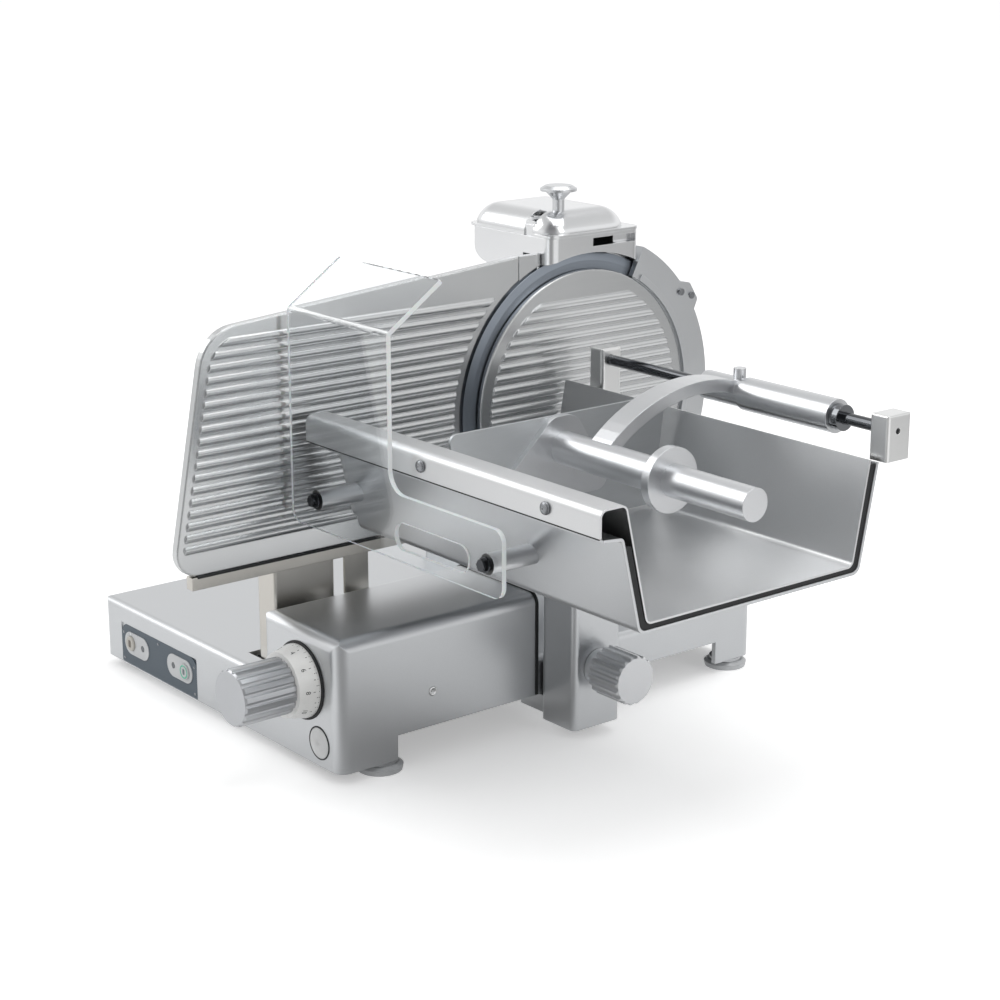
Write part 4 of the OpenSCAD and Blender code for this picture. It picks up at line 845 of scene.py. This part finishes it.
@dataclass
class PanelTrim:
    """Marks, ring and lamp of the two button pads, and the panel's rivets.

    Attributes:
        shop: Where pieces are made.
        stop_mark: Width and height of the stop button's mark.
        start_mark: Width and height of the start button's mark.
        mark_corner: Corner radius of both.
        mark_span: Where both start and end, in front of their buttons.
        ring: Section of the start button's ring, from the button's edge and front.
        lamp: Section of the lamp over the stop button, counted from its axis and the pad's front.
        lamp_rise: How far it stands over the button's middle.
        rivet: Section of a rivet, counted from its axis and the panel's front.
        inset: Distance of the rivets from the panel's edges.
        drop: Distance of the two upper side rivets from the top edge.
        steps: Segments round the lamp and a rivet.
    """

    shop: Workshop
    stop_mark: tuple[float, float] = (5.2, 8.4)
    start_mark: tuple[float, float] = (4.0, 6.6)
    mark_corner: float = 1.4
    mark_span: tuple[float, float] = (-0.2, 0.12)
    ring: Points = ((-2.5, -0.2), (-0.9, -0.2), (-0.9, 0.1), (-1.6, 0.22), (-2.5, 0.1))
    lamp: Points = ((TIP, -0.2), (1.2, -0.2), (1.2, 0.2), (0.9, 0.4), (TIP, 0.45))
    lamp_rise: float = 10.4
    rivet: Points = ((TIP, -0.3), (1.6, -0.3), (1.5, 0.35), (0.8, 0.6), (TIP, 0.65))
    inset: float = 5.0
    drop: float = 11.0
    steps: int = 24

    def build(self) -> None:
        """Makes what is printed on the control panel and set into it."""
        marks = (("stop", MARK_TAUPE, self.stop_mark), ("start", MARK_GREY, self.start_mark))
        for name, finish, size in marks:
            node = f"{name}_button"
            outline = rounded_outline(*size, self.mark_corner)
            mark = plate(outline, *self.mark_span, front_of(node), RIGHT, UP)
            self.shop.piece(f"{name}_mark", mark, finish, node, smooth=False)
        edge = half_size("start_button").x
        ring = turned([(edge + r, d) for r, d in self.ring], front_of("start_button"), FORWARD)
        self.shop.piece("start_ring", ring, RING_GREEN, "start_button")
        spot = middle_of("stop_button") + UP * self.lamp_rise / METRE
        spot.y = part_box("button_pads")[0].y
        lamp = turned(self.lamp, spot, FORWARD, self.steps)
        self.shop.piece("stop_lamp", lamp, LAMP_WHITE, "control_panel")
        self.rivets()

    def rivets(self) -> None:
        """Makes the panel's five rivets."""
        low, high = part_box("control_panel")
        inset = self.inset / METRE
        sides, heights = (low.x + inset, high.x - inset), (low.z + inset, high.z - self.drop / METRE)
        spots = [Vector((x, low.y, z)) for x in sides for z in heights]
        spots.append(Vector(((low.x + high.x) / 2, low.y, high.z - inset)))
        rivets = joined(turned(self.rivet, spot, FORWARD, self.steps) for spot in spots)
        self.shop.piece("panel_rivets", rivets, FINISHES["screw_steel"], "control_panel")


@dataclass
class BareBadge:
    """The round place on the front, left bare, with its dark rim.

    Attributes:
        shop: Where pieces are made.
        place: Its middle, to the right of the knife's plane and over the table.
        face: Section of its domed face, counted from its axis and the casting's front.
        rim: Section of its rim.
    """

    shop: Workshop
    place: tuple[float, float] = (103.0, 37.0)
    face: Points = ((TIP, -0.3), (16.1, -0.3), (16.1, 0.3), (15.1, 0.75), (8.75, 1.05), (TIP, 1.15))
    rim: Points = ((16.1, -0.3), (17.5, -0.3), (17.5, 0.4), (17.0, 0.75), (16.1, 0.6))

    def build(self) -> None:
        """Makes the badge's domed blank face and its rim."""
        base = self.shop.at(self.place[0], 0, self.place[1])
        base.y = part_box("base_casting")[0].y
        self.shop.piece("badge_blank", turned(self.face, base, FORWARD), BADGE_FACE, "base_casting")
        self.shop.piece("badge_rim", turned(self.rim, base, FORWARD), PRINT_BLACK, "base_casting")


@dataclass
class BlockTrim:
    """Painted shadow band and eyelet of the raised block that carries the dial.

    Attributes:
        shop: Where pieces are made.
        left: The block's left side.
        right: Its right side.
        rear: Its rear end.
        top: Its top.
        edge: Radius of its top edges.
        painted_shadow_feet: Height of the left and right ends of the black band that paints the shadow gap
            behind the block.
        painted_shadow_proud: How far that band stands out of the block.
        painted_shadow_sunk: How far it reaches into the block.
        painted_shadow_span: Where it starts and ends, behind the block's rear end.
        eyelet_place: Middle of the eyelet, behind the knife's axis and over the table.
        eyelet: Section of the eyelet, counted from its axis and the block's side.
        steps: Segments round the eyelet.
    """

    shop: Workshop
    left: float = 2.0
    right: float = 138.0
    rear: float = -176.0
    top: float = 150.0
    edge: float = 12.0
    painted_shadow_feet: tuple[float, float] = (82.0, 39.0)
    painted_shadow_proud: float = 1.1
    painted_shadow_sunk: float = 2.5
    painted_shadow_span: tuple[float, float] = (-1.6, 1.7)
    eyelet_place: tuple[float, float] = (-312.0, 75.0)
    eyelet: Points = ((TIP, -2.5), (2.8, -2.5), (2.8, 0.0), (5.0, 0.0), (5.0, 0.5), (4.2, 1.0), (2.7, 1.0),
                      (2.2, -0.6), (TIP, -0.6))
    steps: int = 40

    def build(self) -> None:
        """Makes the black band that paints the shadow gap round the block's rear end, and the screw that
        closes the hole in its right side.
        """
        corners = [(self.left, self.painted_shadow_feet[0]), (self.left, self.top), (self.right, self.top),
                   (self.right, self.painted_shadow_feet[1])]
        line = bent_line(corners, self.edge)
        start, end = (self.rear + reach for reach in self.painted_shadow_span)
        at = self.shop.at
        rings = [[at(a[0], start, a[1]), at(a[0], end, a[1]), at(b[0], end, b[1]), at(b[0], start, b[1])]
                 for a, b in zip(beside(line, -self.painted_shadow_proud), beside(line, self.painted_shadow_sunk))]
        # Black band where there is only the shadow gap between the block and the column behind it: painted
        # shade
        self.shop.piece("block_end_painted_shadow", swept(rings), SEAL_AND_SHADE_BLACK, "base_casting", smooth=False)
        eyelet = turned(self.eyelet, at(self.right, *self.eyelet_place), RIGHT, self.steps)
        self.shop.piece("base_side_eyelet", eyelet, MILLED_LIT_BLOCK, "base_casting")


@dataclass
class PlateTrim:
    """Painted shadow strip, lip and corner of the gauge plate, and the pale lip of the guard ring.

    Attributes:
        shop: Where pieces are made.
        knife_z: Height of the knife's axis.
        strip_place: Middle of the black strip under the plate's foot, which paints the shadow line between
            plate and bar.
        strip_size: Its width and length.
        strip_corner: Its corner radius.
        strip_span: Where it starts and ends over its middle.
        hollow: Radius of the plate's hollow round the knife.
        lip_width: Width of the lip in that hollow.
        lip_proud: How far it reaches into the plate.
        lip_turn: Degrees between which it runs, from the rear upwards.
        lip_place: Its left face, to the right of the knife's plane.
        lip_thick: Its thickness.
        corner_front: Front end of the corner under the sharpener, behind the knife's axis.
        corner_rear: Its rear end.
        corner_top: Height of the plate there.
        corner_proud: How far the corner's lower edge reaches into the hollow.
        corner_place: Where its depth is counted from, to the right of the knife's plane.
        corner_span: Where it starts and ends from there.
        corner_steps: Segments along the knife.
        ring_span: Inner and outer edge of the guard ring's lip, outside the knife's cover.
        ring_turn: Degrees between which that lip runs.
        ring_place: Its left face, to the right of the knife's plane.
        ring_thick: Its thickness.
    """

    shop: Workshop
    knife_z: float = 305.0
    strip_place: tuple[float, float, float] = (-4.9, -333.0, 198.0)
    strip_size: tuple[float, float] = (12.6, 330.0)
    strip_corner: float = 0.5
    strip_span: tuple[float, float] = (-1.4, 0.7)
    hollow: float = 167.0
    lip_width: float = 8.0
    lip_proud: float = 0.2
    lip_turn: tuple[float, float] = (110.5, 219.0)
    lip_place: float = -9.8
    lip_thick: float = 3.0
    corner_front: float = -86.0
    corner_rear: float = -57.4
    corner_top: float = 474.0
    corner_proud: float = 0.4
    corner_place: float = -10.5
    corner_span: tuple[float, float] = (0.5, 9.0)
    corner_steps: int = 10
    ring_span: tuple[float, float] = (0.3, 1.4)
    ring_turn: tuple[float, float] = (-111.0, 62.0)
    ring_place: float = 5.4
    ring_thick: float = 1.6

    def build(self) -> None:
        """Makes the painted shadow strip, both lips and the corner."""
        outline = rounded_outline(*self.strip_size, self.strip_corner, 2)
        strip = plate(outline, *self.strip_span, self.shop.at(*self.strip_place), RIGHT, BACK)
        # Black strip where there is only the shadow line between the plate's foot and its bar: painted shade
        self.shop.piece("plate_foot_painted_shadow", strip, SEAL_AND_SHADE_BLACK, "gauge_plate", smooth=False)
        lip = arc_band(self.hollow - self.lip_width, self.hollow + self.lip_proud, *self.lip_turn,
                       self.shop.at(self.lip_place, 0, self.knife_z), self.lip_thick)
        self.shop.piece("plate_hollow_lip", lip, RIBBED_PLATE, "gauge_plate", smooth=False)
        self.corner()
        edge = half_size("knife_cover").y
        inner, outer = (edge + reach for reach in self.ring_span)
        ring = arc_band(inner, outer, *self.ring_turn, self.shop.at(self.ring_place, 0, self.knife_z),
                        self.ring_thick)
        self.shop.piece("guard_ring_lip", ring, FINISHES["cast_aluminium"], "guard_ring", smooth=False)

    def corner(self) -> None:
        """Makes the corner of the plate between its rear end and the knife's edge."""
        reach = self.hollow - self.corner_proud
        first, last = (math.acos(end / reach) for end in (self.corner_rear, self.corner_front))
        top = self.corner_top - self.knife_z
        edge = arc_points(reach, reach, first, last, self.corner_steps)
        outline = [(self.corner_front, top), (self.corner_rear, top), *edge]
        base = self.shop.at(self.corner_place, 0, self.knife_z)
        corner = plate(outline, *self.corner_span, base, BACK, UP)
        self.shop.piece("plate_rear_corner", corner, RIBBED_PLATE, "gauge_plate", smooth=False)


@dataclass
class TrayTrim:
    """Black band between tray and trough, and the joint and screw heads of the tray's folded rail.

    Attributes:
        shop: Where pieces are made.
        end: Right-hand end of tray and trough.
        tray: Corners of the middle line of the tray's section, behind the knife's axis and over the table.
        tray_bend: Radius of its folds.
        trough: Corners of the middle line of the trough's section.
        trough_bend: Radius of its corners.
        black_band_edges: Distance of the black band's edges from both lines, positive to the right of their
            run.
        black_band_span: Where it starts and ends, counted to the right from that end.
        joint_place: Middle of the rail's joint, behind the tray's front and under its top.
        joint_size: What the joint is shorter than the tray, and its width.
        joint_corner: Its corner radius.
        joint_span: Where it starts and ends over its middle.
        head: Radius and height of a screw head's dome.
        head_base: Where the head starts, and where its dome starts, in front of the tray.
        head_inset: Distance of the screws' middles from the ends of the screws' box.
        head_steps: Segments round a head.
        dome_start: Degrees from the head's edge to the pit in its middle.
        dome_steps: Segments between the two.
    """

    shop: Workshop
    end: float = 456.0
    tray: Points = ((-333.2, 308.0), (-315.0, 233.0), (-51.0, 233.0), (-33.0, 330.0))
    tray_bend: float = 7.0
    trough: Points = ((-343.6, 308.4), (-323.5, 225.5), (-42.5, 225.5), (-22.0, 329.0))
    trough_bend: float = 9.0
    black_band_edges: tuple[float, float] = (1.3, -1.8)
    black_band_span: tuple[float, float] = (-3.0, -1.0)
    joint_place: tuple[float, float] = (0.9, 26.4)
    joint_size: tuple[float, float] = (3.0, 1.6)
    joint_corner: float = 0.5
    joint_span: tuple[float, float] = (-1.0, 0.9)
    head: tuple[float, float] = (6.2, 3.0)
    head_base: tuple[float, float] = (0.1, 1.0)
    head_inset: float = 4.5
    head_steps: int = 40
    dome_start: float = 84.0
    dome_steps: int = 14

    def build(self) -> None:
        """Makes the black band, the joint and the heads."""
        left, right = (self.end + reach for reach in self.black_band_span)
        inner = beside(bent_line(self.tray, self.tray_bend), self.black_band_edges[0])
        outer = beside(bent_line(self.trough, self.trough_bend), self.black_band_edges[1])
        rings = [[self.shop.at(x, *p) for x, p in ((left, a), (left, b), (right, b), (right, a))]
                 for a, b in zip(inner, outer)]
        # A black band that fills the gap between tray and trough at their right-hand end
        self.shop.piece("tray_end_black_band", swept(rings), SEAL_AND_SHADE_BLACK, "trough", smooth=False)
        low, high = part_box("tray")
        spot = Vector(((low.x + high.x) / 2, low.y + self.joint_place[0] / METRE,
                       high.z - self.joint_place[1] / METRE))
        outline = rounded_outline((high.x - low.x) * METRE - self.joint_size[0], self.joint_size[1],
                                  self.joint_corner, 2)
        joint = plate(outline, *self.joint_span, spot, RIGHT, BACK)
        self.shop.piece("rail_joint_strip", joint, SEAL_AND_SHADE_BLACK, "tray", smooth=False)
        self.heads()

    def heads(self) -> None:
        """Makes the two domed heads on the rail, each with a small pit in its middle."""
        low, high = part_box("tray_screws")
        foot, shoulder = self.head_base
        dome = arc_points(*self.head, math.radians(self.dome_start), 0.0, self.dome_steps)
        section = [(TIP, shoulder), *((r, shoulder + d) for r, d in dome), (self.head[0], foot), (TIP, foot)]
        inset = self.head_inset / METRE
        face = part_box("tray")[0].y
        spots = [Vector((x, face, (low.z + high.z) / 2)) for x in (low.x + inset, high.x - inset)]
        heads = joined(turned(section, spot, FORWARD, self.head_steps) for spot in spots)
        self.shop.piece("rail_screw_domes", heads, FINISHES["screw_steel"], "tray_screws")


# Studio


@dataclass
class PhotoCamera:
    """The camera that stands where the photograph's stood.

    Attributes:
        place: Its place in the row frame, in metres.
        heading: Direction of view, in degrees from +X towards +Y.
        pitch: Degrees above the horizon.
        focal_px: Focal length in pixels of the frame.
        frame_px: Width of the frame in pixels.
        sensor_mm: Width of the sensor.
        far: How far it sees, in metres.
    """

    place: tuple[float, float, float] = (1.7235, -1.3905, 0.8644)
    heading: float = 141.15
    pitch: float = -15.885
    focal_px: float = 2190.0
    frame_px: float = 1000.0
    sensor_mm: float = 36.0
    far: float = 60.0

    def build(self) -> None:
        """Makes the camera and makes it the scene's."""
        data = bpy.data.cameras.new("photo_camera")
        data.sensor_width = self.sensor_mm
        data.lens = self.focal_px / self.frame_px * self.sensor_mm
        data.clip_end = self.far
        camera = bpy.data.objects.new("photo_camera", data)
        camera.location = self.place
        camera.rotation_euler = (math.radians(90 + self.pitch), 0, math.radians(self.heading - 90))
        bpy.context.scene.collection.objects.link(camera)
        bpy.context.scene.camera = camera


@dataclass(frozen=True)
class Softbox:
    """One studio lamp with a large soft face.

    Attributes:
        name: Its name.
        place: Where it hangs, in metres from the object's middle.
        size: Width and height of its face, in metres.
        watts: Its power.
    """

    name: str
    place: tuple[float, float, float]
    size: tuple[float, float]
    watts: float


@dataclass
class Studio:
    """Pale floor, white surroundings, soft lamps and the dark room behind the camera.

    Attributes:
        lamps: The soft lamps.
        toward_camera: Level direction from the object to the camera, where the room is dark.
        toward_back: Level direction to the far right, where the light falls off.
        room_light: Level of the surroundings that soft surfaces gather.
        sky_levels: Level of the surroundings in the metal, as pairs of the direction's height and level.
        room_start: Cosine from toward_camera at which the surroundings start to darken in the metal.
        room_dark: What they darken to.
        floor_half: Half the floor's side, in metres.
        glow_reach: Distances from the origin, in metres, between which the seen floor's own light rises;
            lower near the object, it paints a deeper shadow there.
        glow_levels: That light at both distances.
        floor_glow: Own light of the floor in the metal.
        fall_reach: Distances, in metres, between which the floor darkens toward_back in the metal.
        fall_start: Cosine from toward_back at which that darkening starts.
        near_start: Cosine from toward_camera at which the floor starts to darken in the metal.
    """

    lamps: Sequence[Softbox] = (
        Softbox("softbox_left", (-2.2, -1.8, 2.2), (2.4, 2.4), 34.0),
        Softbox("softbox_top", (0.2, 0.6, 2.8), (2.8, 2.0), 34.0),
        Softbox("softbox_right", (2.6, 0.2, 1.7), (1.0, 2.2), 12.0),
    )
    toward_camera: tuple[float, float, float] = (0.68, -0.73, 0.0)
    toward_back: tuple[float, float, float] = (0.5, 0.87, 0.0)
    room_light: float = 0.54
    sky_levels: Points = ((0.0, 0.92), (0.12, 1.0), (0.35, 1.0), (0.6, 0.75), (1.0, 0.6))
    room_start: float = 0.72
    room_dark: str = "#959597"
    floor_half: float = 14.0
    glow_reach: tuple[float, float] = (0.8, 3.0)
    glow_levels: tuple[float, float] = (0.34, 0.52)
    floor_glow: float = 0.26
    fall_reach: tuple[float, float] = (0.6, 1.5)
    fall_start: float = 0.85
    near_start: float = 0.8

    def build(self) -> None:
        """Sets up the view transform, the world, the lamps and the floor."""
        bpy.context.scene.view_settings.view_transform = "Standard"
        self.world()
        low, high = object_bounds()
        middle = (low + high) / 2
        for lamp in self.lamps:
            data = bpy.data.lights.new(lamp.name, "AREA")
            data.shape = "RECTANGLE"
            data.size, data.size_y = lamp.size
            data.energy = lamp.watts
            thing = bpy.data.objects.new(lamp.name, data)
            thing.location = middle + Vector(lamp.place)
            thing.rotation_euler = (middle - thing.location).to_track_quat("-Z", "Y").to_euler()
            bpy.context.scene.collection.objects.link(thing)
        self.floor()

    @staticmethod
    def facing(shader: Shader, place: bpy.types.NodeSocket, way: tuple[float, float, float],
               start: float) -> bpy.types.NodeSocket:
        """Compares a direction or place with a level direction, both seen from above.

        Args:
            shader: Where the nodes go.
            place: The direction or place.
            way: The level direction.
            start: Cosine between the two at which the value leaves 0.

        Returns:
            A value that is 1 where they agree.
        """
        level = shader.add("VectorMath", {0: place, 1: (1, 1, 0)}, operation="MULTIPLY").outputs[0]
        unit = shader.add("VectorMath", {0: level}, operation="NORMALIZE").outputs[0]
        share = shader.add("VectorMath", {0: unit, 1: way}, operation="DOT_PRODUCT").outputs["Value"]
        return shader.add("MapRange", {"Value": share, "From Min": start, "From Max": 1.0},
                          interpolation_type="SMOOTHSTEP").outputs[0]

    def world(self) -> None:
        """Makes surroundings that are white to the camera and shaded like a studio to the metal."""
        world = bpy.data.worlds.new("studio_world")
        bpy.context.scene.world = world
        world.use_nodes = True
        sky = Shader(world.node_tree)
        direction = sky.add("TexCoord").outputs["Generated"]
        height = sky.add("SeparateXYZ", {0: direction}).outputs["Z"]
        ramp = sky.add("ValToRGB", {0: height})
        self.fill(ramp.color_ramp, self.sky_levels)
        dark = self.facing(sky, direction, self.toward_camera, self.room_start)
        shade = sky.add("Mix", {0: dark, 6: WHITE, 7: srgb(self.room_dark)}, data_type="RGBA").outputs[2]
        toned = sky.add("Mix", {0: 1.0, 6: ramp.outputs["Color"], 7: shade}, data_type="RGBA",
                        blend_type="MULTIPLY").outputs[2]
        mirrored = sky.add("Background", {"Color": toned, "Strength": 1.0}).outputs[0]
        soft = sky.add("Background", {"Color": WHITE, "Strength": self.room_light}).outputs[0]
        white = sky.add("Background", {"Color": WHITE, "Strength": 1.0}).outputs[0]
        rays = sky.add("LightPath").outputs
        lit = sky.add("MixShader", {0: rays["Is Glossy Ray"], 1: soft, 2: mirrored}).outputs[0]
        clear = sky.add("MixShader", {0: rays["Is Transmission Ray"], 1: lit, 2: white}).outputs[0]
        seen = sky.add("MixShader", {0: rays["Is Camera Ray"], 1: clear, 2: white}).outputs[0]
        sky.add("OutputWorld", {"Surface": seen})

    @staticmethod
    def fill(ramp: bpy.types.ColorRamp, stops: Points) -> None:
        """Sets a new ramp's stops.

        Args:
            ramp: The ramp.
            stops: Pairs of place and grey level.
        """
        ramp.elements.remove(ramp.elements[-1])
        ramp.elements[0].position = stops[0][0]
        ramp.elements[0].color = (stops[0][1],) * 3 + (1,)
        for place, level in stops[1:]:
            ramp.elements.new(place).color = (level,) * 3 + (1,)

    def floor_material(self) -> bpy.types.Material:
        """Makes the floor's paper, which is white to the camera and falls off in the metal's reflections.

        Returns:
            The material.
        """
        material, shader = new_material("pale_paper_floor")
        place = shader.add("TexCoord").outputs["Object"]
        grain = shader.add("TexNoise", {"Vector": place, "Scale": 40.0, "Detail": 3.0}).outputs[0]
        tone = shader.add("Mix", {0: grain, 6: srgb("#f4f4f4"), 7: srgb("#f8f8f8")},
                          data_type="RGBA").outputs[2]
        paper = shader.add("BsdfPrincipled", {"Base Color": tone, "Roughness": 0.8,
                                              "Specular IOR Level": 0.1}).outputs[0]
        reach = shader.add("VectorMath", {0: place}, operation="LENGTH").outputs["Value"]
        # The seen floor's own light is kept low near the object, which paints its shadow on the floor deeper
        level = shader.add("MapRange", {"Value": reach, "From Min": self.glow_reach[0],
                                        "From Max": self.glow_reach[1], "To Min": self.glow_levels[0],
                                        "To Max": self.glow_levels[1]},
                           interpolation_type="SMOOTHSTEP").outputs[0]
        glow = shader.add("Emission", {"Color": WHITE, "Strength": level}).outputs[0]
        lit = shader.add("AddShader", {0: paper, 1: glow}).outputs[0]
        away = shader.add("MapRange", {"Value": reach, "From Min": self.fall_reach[0],
                                       "From Max": self.fall_reach[1]},
                          interpolation_type="SMOOTHSTEP").outputs[0]
        behind = self.facing(shader, place, self.toward_back, self.fall_start)
        back = shader.add("Math", {0: away, 1: behind}, operation="MULTIPLY").outputs[0]
        front = self.facing(shader, place, self.toward_camera, self.near_start)
        dim = shader.add("Mix", {0: back, 6: WHITE, 7: srgb("#bcbcbc")}, data_type="RGBA").outputs[2]
        dimmer = shader.add("Mix", {0: front, 6: dim, 7: srgb("#aaaaaa")}, data_type="RGBA").outputs[2]
        sheet = shader.add("Mix", {0: 1.0, 6: dimmer, 7: srgb("#e7e7e7")}, data_type="RGBA",
                           blend_type="MULTIPLY").outputs[2]
        spread = shader.add("BsdfDiffuse", {"Color": sheet, "Roughness": 0.5}).outputs[0]
        bounce = shader.add("Emission", {"Color": dimmer, "Strength": self.floor_glow}).outputs[0]
        fallen = shader.add("AddShader", {0: spread, 1: bounce}).outputs[0]
        rays = shader.add("LightPath").outputs
        through = shader.add("Math", {0: rays["Is Camera Ray"], 1: rays["Is Transmission Ray"]},
                             operation="MAXIMUM").outputs[0]
        mixed = shader.add("MixShader", {0: through, 1: fallen, 2: lit}).outputs[0]
        shader.add("OutputMaterial", {"Surface": mixed})
        return material

    def floor(self) -> None:
        """Makes the pale floor."""
        mesh = bmesh.new()
        half = self.floor_half
        corners = ((-half, -half), (half, -half), (half, half), (-half, half))
        mesh.faces.new([mesh.verts.new((x, y, 0)) for x, y in corners])
        data = bpy.data.meshes.new("studio_floor")
        mesh.to_mesh(data)
        mesh.free()
        data.materials.append(self.floor_material())
        thing = bpy.data.objects.new("studio_floor", data)
        bpy.context.scene.collection.objects.link(thing)
        thing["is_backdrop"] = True


def dress_frame(finishes: FinishShop) -> None:
    """Gives every CAD node the material of its slot or its own special finish.

    Args:
        finishes: Where materials come from.
    """
    acrylic = finishes.acrylic()
    for name, thing in frame["nodes"].items():
        slot = SLOT_OF[name]
        material = acrylic if slot == "clear_acrylic" else finishes.get(SPECIAL.get(name) or FINISHES[slot])
        thing.data.materials.clear()
        thing.data.materials.append(material)
        log.info("%s wears %s", name, material.name)


def main() -> None:
    """Builds the camera, the finishes, the added pieces and the studio."""
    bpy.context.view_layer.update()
    PhotoCamera().build()
    centre = middle_of("knife")
    shop = Workshop(FinishShop(centre), centre)
    dress_frame(shop.finishes)
    for group in (DialMarks, DialSeat, PanelTrim, BareBadge, BlockTrim, PlateTrim, TrayTrim):
        group(shop).build()
    Studio().build()


if __name__ == "__main__":
    logging.basicConfig(level=logging.INFO)
    main()
